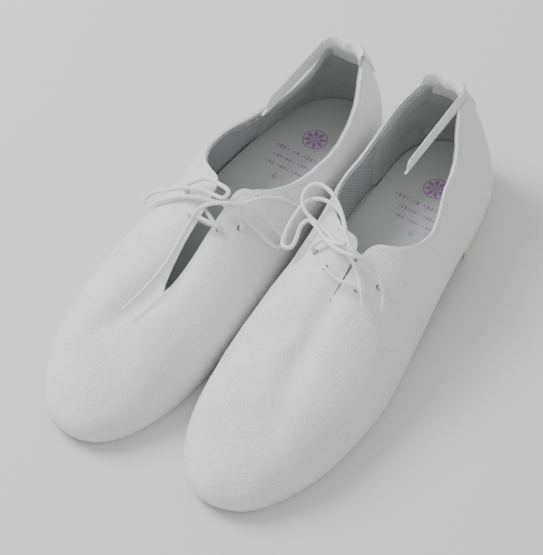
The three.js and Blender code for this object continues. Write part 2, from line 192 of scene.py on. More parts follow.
# %% Lace routes, in millimetres, from one tip to the other
LACE = 2.2
LACE_RINGS_PER_MM = 1.4
LACE_SIDES = 14
LACE_LIFT = (0, 2.8, 0)        # the routes are written before the pair is centred front to back
ROUTES = {
    "right": [
        (-4, 22.2, 43.5), (-10.4, 14.6, 54.5), (-17.2, 6, 59.6), (-22.5, -2, 60), (-27.5, -8, 60.5),
        (-34, -10, 61), (-43, -11, 59.5), (-56.5, -13, 54.5), (-68, -15.5, 46), (-77, -16, 36),
        (-79.5, -14.5, 37.5), (-79.5, -11, 38.5), (-64.5, -12.5, 54), (-52, -10, 61), (-40.5, -9.5, 64.5),
        (-31.5, -9.5, 65.5), (-30.5, -6, 67.5), (-37.5, -4, 67), (-46.5, -3, 65), (-57, -8.5, 56.5),
        (-53.5, -6.5, 50), (-42, -11, 50.5), (-30, -17, 49), (-28, -20, 55.5), (-37.5, -21, 57),
        (-46.5, -20, 56), (-45, -17, 49), (-35, -14, 45.5), (-22.5, -10, 48), (-18.5, -12.5, 54),
        (-25.5, -6.5, 61.5), (-30, -9.5, 63.5), (-26.5, -13, 62), (-20.5, -11, 60), (-15, -8.5, 53.5),
        (-9, -6.5, 45.5), (-4, -2, 36.5), (-2.5, 2.5, 36.5), (-6.5, 1.5, 44.5), (-12, -1, 54.5),
        (-17.5, -4.5, 62), (-23, -9, 65.5), (-28.5, -12.5, 66.5), (-36, -15, 63.5), (-40.5, -19, 60),
        (-42, -24.5, 55), (-42, -36, 49.5), (-41.5, -46.5, 46), (-42.5, -60.5, 42.5), (-44, -70.5, 40.5),
        (-45.5, -80.5, 40),
    ],
    "left": [
        (64.5, -21, 46.5), (59, -20.5, 50.5), (54.5, -16, 55.5), (48, -9, 58), (42, -5, 60.5),
        (36, -2.5, 62), (28, 0.5, 62), (16, 8, 56.5), (6.5, 9.5, 59), (1, 14, 61.5), (0, 19.5, 64),
        (3, 23.5, 66), (10, 23, 67.5), (19.5, 17.5, 68), (28, 9.5, 68), (36, 0, 69), (42, -4.5, 67.5),
        (47.5, -4, 64.5), (52.5, -4, 60), (60.5, -6.5, 54), (56.5, -4.5, 47.5), (45, -8, 50.5),
        (31.5, -10, 50), (30, -13, 57), (41, -17, 57), (51.5, -15, 55), (49.5, -12, 48), (38, -8, 45.5),
        (23, -3, 49), (19, -5.5, 55), (23.5, -0.5, 60), (31.5, -3, 64.5), (36.5, -2.5, 67), (34, 1.5, 69.5),
        (26, 12.5, 65), (18, 18, 63.5), (9.5, 19, 62.5), (2, 17.5, 58), (0, 12, 55), (0, 4.5, 53),
        (1.5, -4, 51), (4, -9, 50.5), (8, -8.5, 51), (8, -2.5, 52.5), (6.5, 4, 54.5), (8.5, 8, 56.5),
        (18.5, 3.5, 57.5), (33, -6.5, 65.5), (44.5, -8.5, 69), (50, -5, 66), (56.5, -4.5, 61),
        (61.5, -7, 56), (64, -10, 50.5), (66, -15, 46.5),
    ],
}


def smooth_route(points, spacing):
    """Points about spacing apart on the centripetal Catmull-Rom curve through points."""
    points = np.asarray(points, float)
    ends = 2 * points[[0, -1]] - points[[1, -2]]
    knots = np.concatenate((ends[:1], points, ends[1:]))
    dense = []
    for k in range(1, len(knots) - 2):
        p = knots[k - 1:k + 3]
        gap = np.maximum(np.linalg.norm(np.diff(p, axis=0), axis=1), 1e-6) ** 0.5
        time = np.concatenate(([0], np.cumsum(gap)))
        for t in np.linspace(time[1], time[2], 24, endpoint=False):
            level = p
            for reach in (1, 2, 3):
                left, right = time[:4 - reach], time[reach:]
                share = ((t - left) / (right - left))[:, None]
                level = level[:-1] + share * (level[1:] - level[:-1])
            dense.append(level[0])
    dense.append(points[-1])
    dense = np.array(dense)
    travelled = np.concatenate(([0], np.cumsum(np.linalg.norm(np.diff(dense, axis=0), axis=1))))
    places = np.linspace(0, travelled[-1], max(2, round(travelled[-1] / spacing)) + 1)
    even = np.stack([np.interp(places, travelled, dense[:, axis]) for axis in range(3)], axis=1)
    return even, travelled[-1]

# %% Round tubes that follow a route
def tube(name, line, radii, sides):
    """A closed tube round the points of line, in millimetres, with cloth coordinates along and round it."""
    along = np.gradient(line, axis=0)
    along /= np.linalg.norm(along, axis=1)[:, None]
    across = np.cross(along[0], (0.3, 0.2, 1))
    rings = []
    for point, direction, radius in zip(line, along, radii):
        across = across - direction * np.dot(across, direction)
        across /= np.linalg.norm(across)
        up = np.cross(direction, across)
        angles = 2 * np.pi * np.arange(sides) / sides
        rings.append(point + radius * (np.cos(angles)[:, None] * across + np.sin(angles)[:, None] * up))
    points = np.concatenate((*rings, line[:1], line[-1:])) * MM
    travelled = np.concatenate(([0], np.cumsum(np.linalg.norm(np.diff(line, axis=0), axis=1))))
    faces = []
    coords = []
    for j in range(len(line) - 1):
        for i in range(sides):
            k = (i + 1) % sides
            faces.append((j * sides + i, (j + 1) * sides + i, (j + 1) * sides + k, j * sides + k)[::-1])
            coords.append([(travelled[a], b / sides) for a, b in
                           ((j, i), (j + 1, i), (j + 1, i + 1), (j, i + 1))][::-1])
    last = (len(line) - 1) * sides
    for i in range(sides):
        k = (i + 1) % sides
        faces.append((len(points) - 2, k, i))
        coords.append([(0, 0)] * 3)
        faces.append((len(points) - 1, last + i, last + k))
        coords.append([(travelled[-1], 0)] * 3)
    piece = make_mesh(name, points, faces)
    layer = piece.data.uv_layers.new(name="cloth")
    flat = [value for face in coords for u, v in face for value in (u * MM, v)]
    layer.data.foreach_set("uv", flat)
    return piece


laces = {}
tips = {}
for side, route in ROUTES.items():
    path = np.asarray(route, float) + LACE_LIFT
    line, length = smooth_route(path[1:-1], 1 / LACE_RINGS_PER_MM)
    braided = tube(f"{side}_braided_lace", line, np.full(len(line), LACE / 2), LACE_SIDES)
    laces[side] = (braided, line, length)
    for place, (inner, outer) in (("first", (path[1], path[0])), ("last", (path[-2], path[-1]))):
        reach = np.linspace(0, 1, 24)[:, None]
        rod = inner + (outer - inner) * reach
        width = LACE / 2 * np.interp(reach[:, 0], (0, 0.04, 0.9, 0.97, 1), (1.0, 0.95, 0.86, 0.78, 0.45))
        tips[side, place] = tube(f"{side}_lace_end_{place}", rod, width, LACE_SIDES)
    print(side, "lace:", len(line), "rings,", round(length), "mm")

# %% [markdown]
# ## The foot form
#
# A shoe is made on a last, a block in the shape of the foot. The leather, the linings and the heel parts are
# all skins of that one shape, each a little further in. So the form is written once: an outline of the sole
# edge, a ridge line over the toes and instep, and a Bezier curve from the edge to the ridge at each
# place round the shoe. x runs out towards the little toe, t from the toe tip to the heel, z up, all in
# millimetres.

# %% The last's outline and ridge
LENGTH = 265
SOLE = 2.5
GAP = 0.3
HEEL_RISE = 9.5
TOP_PIECE = 3.5
TOE_SPRING = 2.5
LEATHER = 1.4
LINING = 0.8
COUNTER = 1.0
BOARD = 1.5
SOCK = 0.8
MARGIN = 12
SOLE_INSET = 1
OUTER_X = [6, 24, 37.5, 47, 50, 45, 39.5, 35.5, 30, 18, 0]
INNER_X = [6, -10, -22.5, -30, -32.5, -31, -28.5, -29, -28, -17.5, 0]
OUTER_LEAN = [3, 3, 3, 3, 3, 2.5, 0.5, -5.5, -8.5, -1.5, 0.7]
INNER_LEAN = [3, 3, 3, 3, 3.5, 4.5, 7, 4, 4, 3.5, 0.7]
RIDGE_T = [30, 50.5, 78, 112, 143, 166, 192, 230]
RIDGE_Z = [29.5, 37, 40.5, 51, 61.7, 74, 84.5, 94]
RIDGE_X = [7, 8.5, 7.5, 4, 2, -9, -16, -8]
LOWER_HANDLE = 0.4
UPPER_HANDLE = [0.86, 0.86, 0.86, 0.86, 0.85, 0.8, 0.85, 0.45, 0.36, 0.48, 0.26]
OUTER_TOPLINE = [(134.5, 67), (137, 63), (142, 61), (150, 58), (160, 55), (170, 53.5), (185, 54),
                 (200, 53.5), (210, 52.5), (218, 54), (224, 58), (232, 67), (239, 76), (265, 79)]
INNER_TOPLINE = [(134.5, 67), (137, 63), (142, 61), (150, 59), (160, 57.5), (170, 56.5), (180, 55.5),
                 (190, 54), (200, 54.5), (210, 58), (220, 64), (230, 72), (239, 77), (265, 79)]


def through(values, place):
    """A smooth curve through evenly spaced numbers; place runs over the list's positions."""
    last = len(values) - 1
    knots = np.array([2 * values[0] - values[1], *values, 2 * values[-1] - values[-2]], float)
    k = np.clip(np.floor(place).astype(int), 0, last - 1)
    f = place - k
    a, b, c, d = (knots[k + step] for step in range(4))
    return b + 0.5 * f * (c - a + f * (2 * a - 5 * b + 4 * c - d + f * (3 * (b - c) + d - a)))


def around(outer, inner, turn):
    """The outline tables as one closed curve: turn is 0 at the toe tip and +-pi at the heel."""
    place = np.abs(turn) / np.pi * 10 + 1
    return np.where(turn >= 0, through([inner[1], *outer, inner[9]], place),
                    through([outer[1], *inner, outer[9]], place))


def underside(t):
    share = np.clip((t - 112) / 78, 0, 1)
    return HEEL_RISE * share ** 2 * (3 - 2 * share) + TOE_SPRING * np.maximum(0, 1 - t / 18) ** 2


def seat(t):
    return underside(t) + SOLE + GAP


def edge(turn):
    return np.stack((around(OUTER_X, INNER_X, turn), LENGTH * (1 - np.cos(turn)) / 2), axis=-1)


def edge_normal(turn):
    step = 0.02
    after, before = turn + step, turn - step
    after = np.where(after > np.pi, after - 2 * np.pi, after)
    before = np.where(before < -np.pi, before + 2 * np.pi, before)
    along = edge(after) - edge(before)
    normal = np.stack((along[..., 1], -along[..., 0]), axis=-1)
    return normal / np.linalg.norm(normal, axis=-1, keepdims=True)


def ridge(values, t):
    return through(values, np.interp(t, RIDGE_T, range(len(RIDGE_T))))


def skin(turn, rise):
    """Points of the foot form: rise is 0 on the sole edge and 1 on the ridge."""
    turn, rise = np.broadcast_arrays(turn, rise)
    foot, normal = edge(turn), edge_normal(turn)
    lean = around(OUTER_LEAN, INNER_LEAN, turn)
    flat = through(UPPER_HANDLE, np.abs(turn) / np.pi * 10)
    t = RIDGE_T[0] + foot[..., 1] / LENGTH * (RIDGE_T[-1] - RIDGE_T[0])
    top = np.stack((ridge(RIDGE_X, t), t, ridge(RIDGE_Z, t)), axis=-1)
    after, before = np.minimum(t + 4, RIDGE_T[-1]), np.maximum(t - 4, RIDGE_T[0])
    slope = (ridge(RIDGE_Z, after) - ridge(RIDGE_Z, before)) / (after - before)
    base = np.concatenate((foot, seat(foot[..., 1:])), axis=-1)
    across = (base - top)[..., :2] * flat[..., None]
    climb = LOWER_HANDLE * (top - base)[..., 2:]
    low = base + np.concatenate((normal * lean[..., None], climb), axis=-1)
    high = top + np.concatenate((across, (slope * across[..., 1])[..., None]), axis=-1)
    r = rise[..., None]
    return (1 - r) ** 3 * base + 3 * r * (1 - r) ** 2 * low + 3 * r ** 2 * (1 - r) * high + r ** 3 * top


print("toe tip", np.round(skin(0.0, 0.0), 1), "heel", np.round(skin(np.pi, 0.0), 1))

# %% [markdown]
# ## One grid for all the layers
#
# The grid has rows across the shoe and columns from the turned-under margin, up one side, over the ridge and
# down the other. Both end rows fold onto themselves, so their points are shared and no seam is left. Each
# point carries its place, its place after the leather has sagged, its normal and its cloth coordinates,
# and all of them are blended alike when a face is cut.

# %% The grid
ROWS = 216
STEPS = 52
PLACE, SAGGED, NORMAL, CLOTH = slice(0, 3), slice(3, 6), slice(6, 9), slice(9, 11)
TURNED_UNDER = [(MARGIN, 0), (6, 0), (1.4, 0.0), (0.4, 0.4)]      # inset and height of the turned edge


def point_normals(points, faces):
    """Normals at the points, from faces of any number of corners."""
    total = np.zeros_like(points)
    for size in {len(face) for face in faces}:
        group = np.array([face for face in faces if len(face) == size])
        corners = points[group]
        area = np.cross(corners, np.roll(corners, -1, axis=1)).sum(axis=1)
        for k in range(size):
            np.add.at(total, group[:, k], area)
    return total / np.maximum(np.linalg.norm(total, axis=1, keepdims=True), 1e-12)


def form_grid():
    """Points in rows across the shoe, their cloth coordinates, and the faces between them."""
    turns = np.pi * np.arange(ROWS + 1) / ROWS
    half = len(TURNED_UNDER) + STEPS
    width = 2 * half - 1
    signed = np.stack([turns] * half + [-turns] * (half - 1), axis=1)
    signed[-1] = np.pi
    rows = np.zeros((ROWS + 1, width, 3))
    for k, (inset, height) in enumerate(TURNED_UNDER):
        for column in (k, width - 1 - k):
            turn = signed[:, column]
            foot = edge(turn) - inset * edge_normal(turn)
            rows[:, column] = np.column_stack((foot, seat(edge(turn)[:, 1]) + height))
    rises = np.linspace(0, 1, STEPS + 1)[1:]
    wall = slice(len(TURNED_UNDER), width - len(TURNED_UNDER))
    rows[:, wall] = skin(signed[:, wall], np.concatenate((rises, rises[-2::-1]))[None, :])

    steps_up = np.linalg.norm(np.diff(rows, axis=1), axis=2)
    from_outer = np.pad(np.cumsum(steps_up, axis=1), ((0, 0), (1, 0)))
    from_inner = np.pad(np.cumsum(steps_up[:, ::-1], axis=1), ((0, 0), (1, 0)))[:, ::-1]
    climbed = np.where(np.arange(width) < half, from_outer, from_inner)
    strides = np.linalg.norm(np.diff(edge(turns), axis=0), axis=1)
    walked = np.concatenate(([0], np.cumsum(strides)))[:, None] * np.where(np.arange(width) < half, 1, -1)

    shared = np.arange((ROWS + 1) * width).reshape(ROWS + 1, width)
    for row in (0, ROWS):
        shared[row, half:] = shared[row, half - 2::-1]
    a, b = shared[:-1, :-1], shared[1:, :-1]
    c, d = shared[1:, 1:], shared[:-1, 1:]
    faces = [list(dict.fromkeys(face)) for face in np.stack((a, b, c, d), axis=-1).reshape(-1, 4).tolist()]
    faces = [face for face in faces if len(face) > 2]
    points = rows.reshape(-1, 3)
    cloth = np.stack((walked, climbed), axis=-1).reshape(-1, 2)
    return np.hstack((points, points, point_normals(points, faces), cloth)), faces


FORM, FORM_FACES = form_grid()
print("form grid:", len(FORM), "points,", len(FORM_FACES), "faces")

# %% [markdown]
# ## Cutting sheets along a line
#
# Scissors cut leather along any line, but a grid only has its own edges. Each cut is therefore a number for
# every point, above zero on the part that is kept. Faces that the zero line crosses are clipped where
# it crosses them. Before the cut, faces near it are split in four, so the cut edge comes out smooth.

# %% Split and clip
def refine(data, faces, chosen):
    """Splits the chosen four-cornered faces in four; their neighbours take in the new edge points."""
    halves = {}
    extra = []

    def halfway(a, b):
        key = (a, b) if a < b else (b, a)
        if key not in halves:
            halves[key] = len(data) + len(extra)
            extra.append((data[a] + data[b]) / 2)
        return halves[key]

    split = []
    for face, pick in zip(faces, chosen):
        if pick and len(face) == 4:
            middle = len(data) + len(extra)
            extra.append(data[face].mean(axis=0))
            sides = [halfway(a, b) for a, b in zip(face, [*face[1:], face[0]])]
            split += [[face[k], sides[k], middle, sides[k - 1]] for k in range(4)]
        else:
            split.append(face)
    result = []
    for face in split:
        ring = []
        for a, b in zip(face, [*face[1:], face[0]]):
            ring.append(a)
            key = (a, b) if a < b else (b, a)
            if key in halves:
                ring.append(halves[key])
        result.append(ring)
    return np.vstack((data, *extra)) if extra else data, result


def clip(data, faces, value):
    """Keeps the part where value, a number for each point, is above zero. Also gives the new edge points."""
    value = np.where(np.abs(value) < 0.04, 0, value)
    keep = value >= 0
    cuts = {}
    extra = []
    result = []
    for face in faces:
        inside = [keep[k] for k in face]
        if all(inside):
            result.append(face)
            continue
        if not any(inside):
            continue
        ring = []
        for a, b in zip(face, [*face[1:], face[0]]):
            if keep[a]:
                ring.append(a)
            if keep[a] != keep[b] and value[a] and value[b]:
                key = (a, b) if a < b else (b, a)
                if key not in cuts:
                    cuts[key] = len(data) + len(extra)
                    share = value[a] / (value[a] - value[b])
                    extra.append(data[a] + share * (data[b] - data[a]))
                ring.append(cuts[key])
        if len(ring) > 2:
            result.append(ring)
    data = np.vstack((data, *extra)) if extra else data
    used = sorted({k for face in result for k in face})
    number = {k: n for n, k in enumerate(used)}
    return data[used], [[number[k] for k in face] for face in result]


def face_middles(data, faces):
    return np.array([data[face, :3].mean(axis=0) for face in faces])

# %% [markdown]
# ## Where each shoe is cut, and how it has sagged
#
# The right shoe's slit gapes and the left one's has closed. In front of each slit the soft leather has sunk
# into a valley, and at its toe end the right shoe has fine creases that fan out. These are moves of the
# surface along its normal, as a sculptor would push clay: a valley follows a line with a depth and a
# width at each of its points, and a dent is a single soft hollow.

# %% Cuts
THROAT = 136
SHAPES = {
    "right": {
        "slit": 3.5, "gap": [(79, 0), (84, 2.2), (92, 3.4), (106, 4.3), (126, 4.6), (150, 6)],
        "holes": [(12, 119), (22, 130), (-5, 119), (-13.5, 126)],
        "valley": [(3.5, 142, 0.4, 8), (3.5, 120, 3.0, 9), (4, 98, 5.4, 9), (6.5, 80, 7.2, 9),
                   (11, 64, 7.4, 8.5), (16, 52, 6.0, 8), (22, 38, 0, 7)],
        "dents": [(2, 52, 1.2, 10), (27, 88, 0.8, 14), (-14, 92, 0.7, 16)],
        "creases": (13, 56, 0.75),
    },
    "left": {
        "slit": 8.0, "gap": [(92, 0), (106, 0.15), (120, 0.45), (130, 1.1), (136, 2.2), (150, 5)],
        "holes": [(17, 119), (25, 127), (-3, 121), (-13, 128)],
        "valley": [(8.5, 140, 0.3, 6), (8, 118, 1.8, 6), (8.5, 100, 3.0, 6.5), (10.5, 80, 3.9, 7.5),
                   (14, 60, 3.4, 8), (19, 44, 2.0, 8), (24, 28, 0, 7)],
        "dents": [(-5, 86, 1.7, 6.5), (-3, 60, 0.9, 14), (-14, 100, 0.6, 14)],
        "creases": (-5, 88, 0.3),
    },
}
TOPLINES_MEET = -10            # x where one side's topline takes over from the other
HOLE = 1.7
CORNER = 5                     # radius of the flaps' rounded corners


def soft_min(a, b, radius):
    share = np.clip(0.5 + 0.5 * (b - a) / radius, 0, 1)
    return b + (a - b) * share - radius * share * (1 - share)


def opening_value(place, shape):
    """Above zero on the leather: below the topline and outside the slit, with the corners rounded off."""
    x, t, z = place.T
    outer = np.interp(t, *zip(*OUTER_TOPLINE))
    inner = np.interp(t, *zip(*INNER_TOPLINE))
    topline = np.where(x > TOPLINES_MEET, outer, inner) + np.maximum(0, OUTER_TOPLINE[0][0] - t)
    gap = np.interp(t, *zip(*shape["gap"])) - np.maximum(0, shape["gap"][0][0] - t)
    from_slit = np.where(t < THROAT + 30, np.abs(x - shape["slit"]) - gap, 1000)
    return soft_min(topline - z, from_slit, CORNER)


def hole_value(place, centre):
    return np.linalg.norm(place - centre, axis=1) - HOLE

# %% Sagging
SAG_SEEDS = {"right": 3, "left": 8}


def along_line(x, t, line):
    """For each point, its distance from the line, and the line's depth and width at the nearest place."""
    best = np.full(len(x), np.inf)
    depth = np.zeros(len(x))
    width = np.ones(len(x))
    for (x0, t0, depth0, width0), (x1, t1, depth1, width1) in zip(line, line[1:]):
        length2 = (x1 - x0) ** 2 + (t1 - t0) ** 2
        share = np.clip(((x - x0) * (x1 - x0) + (t - t0) * (t1 - t0)) / length2, 0, 1)
        away = np.hypot(x - x0 - share * (x1 - x0), t - t0 - share * (t1 - t0))
        near = away < best
        best = np.where(near, away, best)
        depth = np.where(near, depth0 + share * (depth1 - depth0), depth)
        width = np.where(near, width0 + share * (width1 - width0), width)
    return best, depth, width


def rumple(points, size, seed):
    """Soft noise for each point, about -1 to 1, with bumps of that size."""
    shift = Vector((seed * 17.3, seed * 5.1, seed * 9.7))
    return np.array([noise.noise(Vector(point) / size + shift) for point in points])


def sag(data, shape, seed):
    """How far each point sinks along its normal, in millimetres."""
    x, t, z = data[:, PLACE].T
    walked = data[:, CLOTH.start]
    facing_up = np.clip(data[:, NORMAL.stop - 1] * 1.6, 0, 1)
    away, depth, width = along_line(x, t, shape["valley"])
    sunk = depth * np.exp(-(away / width) ** 2)
    for dent_x, dent_t, dent_depth, dent_size in shape["dents"]:
        sunk += dent_depth * np.exp(-((x - dent_x) ** 2 + (t - dent_t) ** 2) / dent_size ** 2)
    sunk *= facing_up
    sunk += 0.45 * rumple(data[:, PLACE], 26, seed) + 0.22 * rumple(data[:, PLACE], 9, seed + 1)

    crease_x, crease_t, crease_depth = shape["creases"]
    angle = np.arctan2(t - crease_t, x - crease_x)
    radius = np.hypot(x - crease_x, t - crease_t)
    fan = (0.5 + 0.5 * np.cos(17 * angle + 4 * rumple(data[:, PLACE], 6, seed + 2))) ** 3
    fan *= 0.5 + 0.5 * rumple(data[:, PLACE], 5, seed + 4)
    fan *= np.exp(-((radius - 11) / 7) ** 2) * np.clip((crease_t + 6 - t) / 8, 0, 1) * facing_up
    sunk += crease_depth * fan

    low = np.exp(-((z - seat(t)) / 4.5) ** 2) * np.clip((70 - t) / 30, 0, 1) * (z > seat(t) + 0.1)
    sunk += 0.22 * low * np.cos(2 * np.pi * walked / 4.6 + 2 * rumple(data[:, PLACE], 12, seed + 3))
    return sunk


def sagged_form(side):
    """The refined form of one shoe after sagging, with its faces and the places of its lace holes."""
    shape = SHAPES[side]
    tree = BVHTree.FromPolygons(FORM[:, PLACE].tolist(), FORM_FACES)
    holes = [np.array(tree.ray_cast(Vector((x, t, 200)), Vector((0, 0, -1)))[0]) for x, t in shape["holes"]]
    data, faces = FORM, FORM_FACES
    for reach, hole_reach in ((5.5, 6.0), (1.2, 3.2)):
        middles = face_middles(data, faces)
        near_cut = np.abs(opening_value(middles, shape)) < reach
        near_cut &= (middles[:, 1] > 74) & (middles[:, 2] > 34)
        for hole in holes:
            near_cut |= np.linalg.norm(middles - hole, axis=1) < hole_reach
        if reach > 5:
            crease_x, crease_t, _ = shape["creases"]
            flat = np.hypot(middles[:, 0] - crease_x, middles[:, 1] - crease_t)
            near_cut |= (flat < 24) & (middles[:, 2] > 20)
        data, faces = refine(data, faces, near_cut)
    depth = sag(data, shape, SAG_SEEDS[side])
    data[:, SAGGED] = data[:, PLACE] - data[:, NORMAL] * depth[:, None]
    data[:, NORMAL] = point_normals(data[:, SAGGED], faces)
    return data, faces, holes


forms = {side: sagged_form(side) for side in SIDES}
for side, (data, faces, holes) in forms.items():
    print(side, "form:", len(data), "points,", len(faces), "faces")

# %% [markdown]
# ## Shader maths
#
# A material is a graph of nodes. Written out one by one they hide the idea, so a socket is wrapped in a
# small class and Python's own operators add the Math nodes. Anything else goes through one method.

# %% Sockets that do maths
class Wire:
    """An output socket; +, -, * and / on it add Math nodes."""

    def __init__(self, paint, socket):
        self.paint = paint
        self.socket = socket

    def maths(self, operation, one, two):
        return self.paint.node("ShaderNodeMath", {"operation": operation}, {0: one, 1: two})

    def __add__(self, other):
        return self.maths("ADD", self, other)

    def __radd__(self, other):
        return self.maths("ADD", other, self)

    def __sub__(self, other):
        return self.maths("SUBTRACT", self, other)

    def __rsub__(self, other):
        return self.maths("SUBTRACT", other, self)

    def __mul__(self, other):
        return self.maths("MULTIPLY", self, other)

    def __rmul__(self, other):
        return self.maths("MULTIPLY", other, self)


class Paint:
    """A material under construction, with one Principled shader."""

    def __init__(self, name, **settings):
        self.material = bpy.data.materials.new(name)
        self.material.use_nodes = True
        self.tree = self.material.node_tree
        self.tree.nodes.clear()
        self.shader = self.tree.nodes.new("ShaderNodeBsdfPrincipled")
        output = self.tree.nodes.new("ShaderNodeOutputMaterial")
        self.tree.links.new(self.shader.outputs[0], output.inputs["Surface"])
        self.set(**settings)

    def feed(self, socket, value):
        if isinstance(value, Wire):
            self.tree.links.new(value.socket, socket)
        elif isinstance(value, tuple) and len(value) == 3 and socket.type == "RGBA":
            socket.default_value = (*value, 1)
        else:
            socket.default_value = value

    def set(self, **sockets):
        for name, value in sockets.items():
            self.feed(self.shader.inputs[name.replace("_", " ").title().replace("Ior", "IOR")], value)

    def node(self, kind, settings=None, sockets=None, take=0):
        made = self.tree.nodes.new(kind)
        for name, value in (settings or {}).items():
            if name == "stops":
                for place, height in value[1:-1]:
                    made.color_ramp.elements.new(place)
                for stop, (place, height) in zip(made.color_ramp.elements, value):
                    stop.position = place
                    stop.color = (height, height, height, 1)
            else:
                setattr(made, name, value)
        for key, value in (sockets or {}).items():
            self.feed(made.inputs[key], value)
        return Wire(self, made.outputs[take])

    def place(self):
        return self.node("ShaderNodeTexCoord", take=3)

    def cloth(self):
        return self.node("ShaderNodeUVMap", {"uv_map": "cloth"})

    def cloud(self, where, size, detail=3, roughness=0.5):
        """Noise from 0 to 1 with lumps of that size in metres."""
        return self.node("ShaderNodeTexNoise", {}, {"Vector": where, "Scale": 1 / size, "Detail": detail,
                                                    "Roughness": roughness})

    def ramp(self, value, *stops):
        return self.node("ShaderNodeValToRGB", {"stops": stops}, {"Fac": value})

    def mix(self, share, one, two):
        return self.node("ShaderNodeMix", {"data_type": "RGBA"}, {0: share, 6: one, 7: two}, take=2)

    def bump(self, height, depth, under=None):
        """A normal from a height of 0 to 1, depth metres deep."""
        sockets = {"Height": height, "Distance": depth, "Strength": 1.0}
        if under is not None:
            sockets["Normal"] = under
        return self.node("ShaderNodeBump", {}, sockets)

# %% [markdown]
# ## Leather
#
# Soft garment leather has a pebbled grain: rounded cells about 1.5 mm across with fine grooves between
# them, pulled long where the skin was stretched. A Voronoi texture's distance to the cell edge gives the
# grooves, and noise bends them so that no two cells match. White pigment leaves almost no colour change:
# the faint greenish grey in the grooves is painted shade, a large soft cloud adds a little random tone,
# and the grooves are a little less glossy.

# %% Leather materials
def leather(name, colour, groove_shade, cell, depth, roughness):
    paint = Paint(name, roughness=roughness, specular_ior_level=0.42)
    where = paint.place()
    bend = paint.node("ShaderNodeTexNoise", {}, {"Vector": where, "Scale": 1 / (2.2 * cell), "Detail": 2.0},
                      take=1)
    bent = paint.node("ShaderNodeVectorMath", {"operation": "MULTIPLY_ADD"},
                      {0: bend, 1: (cell, cell, cell), 2: where})
    cells = paint.node("ShaderNodeTexVoronoi", {"feature": "DISTANCE_TO_EDGE"},
                       {"Vector": bent, "Scale": 1 / cell}, take=0)
    small = paint.node("ShaderNodeTexVoronoi", {"feature": "DISTANCE_TO_EDGE"},
                       {"Vector": bent, "Scale": 2.3 / cell}, take=0)
    pebble = paint.ramp(cells, (0.0, 0.0), (0.12, 0.6), (0.34, 1.0))
    pebble_small = paint.ramp(small, (0.0, 0.0), (0.2, 0.8), (0.4, 1.0))
    patches = paint.ramp(paint.cloud(where, 0.018), (0.3, 0.25), (0.7, 1.0))
    lumps = paint.cloud(where, 0.0045, 2)
    height = 0.55 * pebble * patches + 0.2 * pebble_small + 0.9 * lumps
    # painted shade: the grain's grooves (1 - pebble) take the darker second colour; the large cloud is random
    # tone
    paint.set(base_color=paint.mix(0.35 * (1 - pebble) + 0.25 * paint.cloud(where, 0.04), colour, groove_shade),
              roughness=roughness + 0.16 * (1 - pebble * patches), normal=paint.bump(height, depth))
    return paint.material


# the second colour of each leather is painted shade for the grooves of its grain
white_leather = leather("white_grained_leather", (0.88, 0.885, 0.88), (0.76, 0.775, 0.765),
                        1.5 * MM, 0.5 * MM, 0.42)
facing_leather = leather("flesh_side_leather", (0.70, 0.71, 0.70), (0.58, 0.59, 0.58),
                         0.9 * MM, 0.08 * MM, 0.62)

# %% [markdown]
# ## Cloth, sock and sole
#
# The quarter lining is a grey twill: fine raised ribs that run at a slant, because the cloth is cut across
# its weave. A sine of the cloth coordinates gives the ribs. The heel grip is a brushed cloth, so it is only
# cloudy. The sock is a smooth coated sheet, and the sole is buffed synthetic rubber.

# %% Cloth materials
def ribbed_cloth(name, dark, light, pitch, slant, depth):
    paint = Paint(name, roughness=0.85)
    along, up = math.cos(slant), math.sin(slant)
    split = paint.node("ShaderNodeSeparateXYZ", {}, {0: paint.cloth()})
    u, v = split, Wire(paint, split.socket.node.outputs[1])
    wander = 0.35 * paint.cloud(paint.place(), 0.006, 2)
    turn = (u * up - v * along) * (2 * math.pi / pitch) + wander * 2.0
    rib = 0.5 + 0.5 * paint.node("ShaderNodeMath", {"operation": "SINE"}, {0: turn})
    thread = (u * along + v * up) * (2 * math.pi / (0.55 * pitch))
    knots = 0.5 + 0.5 * paint.node("ShaderNodeMath", {"operation": "SINE"}, {0: thread})
    fuzz = paint.cloud(paint.place(), 0.0007, 3)
    shade = 0.66 * rib + 0.12 * knots + 0.3 * fuzz
    paint.set(base_color=paint.mix(shade, dark, light), normal=paint.bump(shade, depth))
    return paint.material


def brushed_cloth(name, dark, light, depth):
    paint = Paint(name, roughness=0.9)
    fuzz = 0.6 * paint.cloud(paint.place(), 0.0014, 4, 0.7) + 0.4 * paint.cloud(paint.place(), 0.009, 2)
    paint.set(base_color=paint.mix(paint.ramp(fuzz, (0.3, 0.0), (0.7, 1.0)), dark, light),
              normal=paint.bump(fuzz, depth))
    return paint.material


def plain_sheet(name, colour, shade, grain, depth, roughness):
    paint = Paint(name, roughness=roughness)
    speck = 0.5 * paint.cloud(paint.place(), grain, 3) + 0.5 * paint.cloud(paint.place(), 0.02, 2)
    paint.set(base_color=paint.mix(speck, colour, shade), roughness=roughness + 0.12 * speck,
              normal=paint.bump(speck, depth))
    return paint.material


RIB = 1.25 * MM
lining_inner = ribbed_cloth("ribbed_lining_inner", (0.24, 0.24, 0.25), (0.62, 0.62, 0.63), RIB,
                            math.radians(48), 0.3 * MM)
lining_outer = ribbed_cloth("ribbed_lining_outer", (0.24, 0.24, 0.25), (0.62, 0.62, 0.63), RIB,
                            math.radians(15), 0.3 * MM)
heel_cloth = brushed_cloth("brushed_heel_cloth", (0.33, 0.335, 0.335), (0.50, 0.51, 0.505), 0.12 * MM)
vamp_cloth = brushed_cloth("vamp_cloth", (0.20, 0.235, 0.215), (0.29, 0.33, 0.305), 0.1 * MM)
sock_sheet = plain_sheet("coated_sock", (0.60, 0.62, 0.615), (0.53, 0.55, 0.545), 0.4 * MM, 0.03 * MM, 0.45)
sole_rubber = plain_sheet("buffed_sole", (0.74, 0.73, 0.70), (0.64, 0.63, 0.60), 0.5 * MM, 0.08 * MM, 0.6)
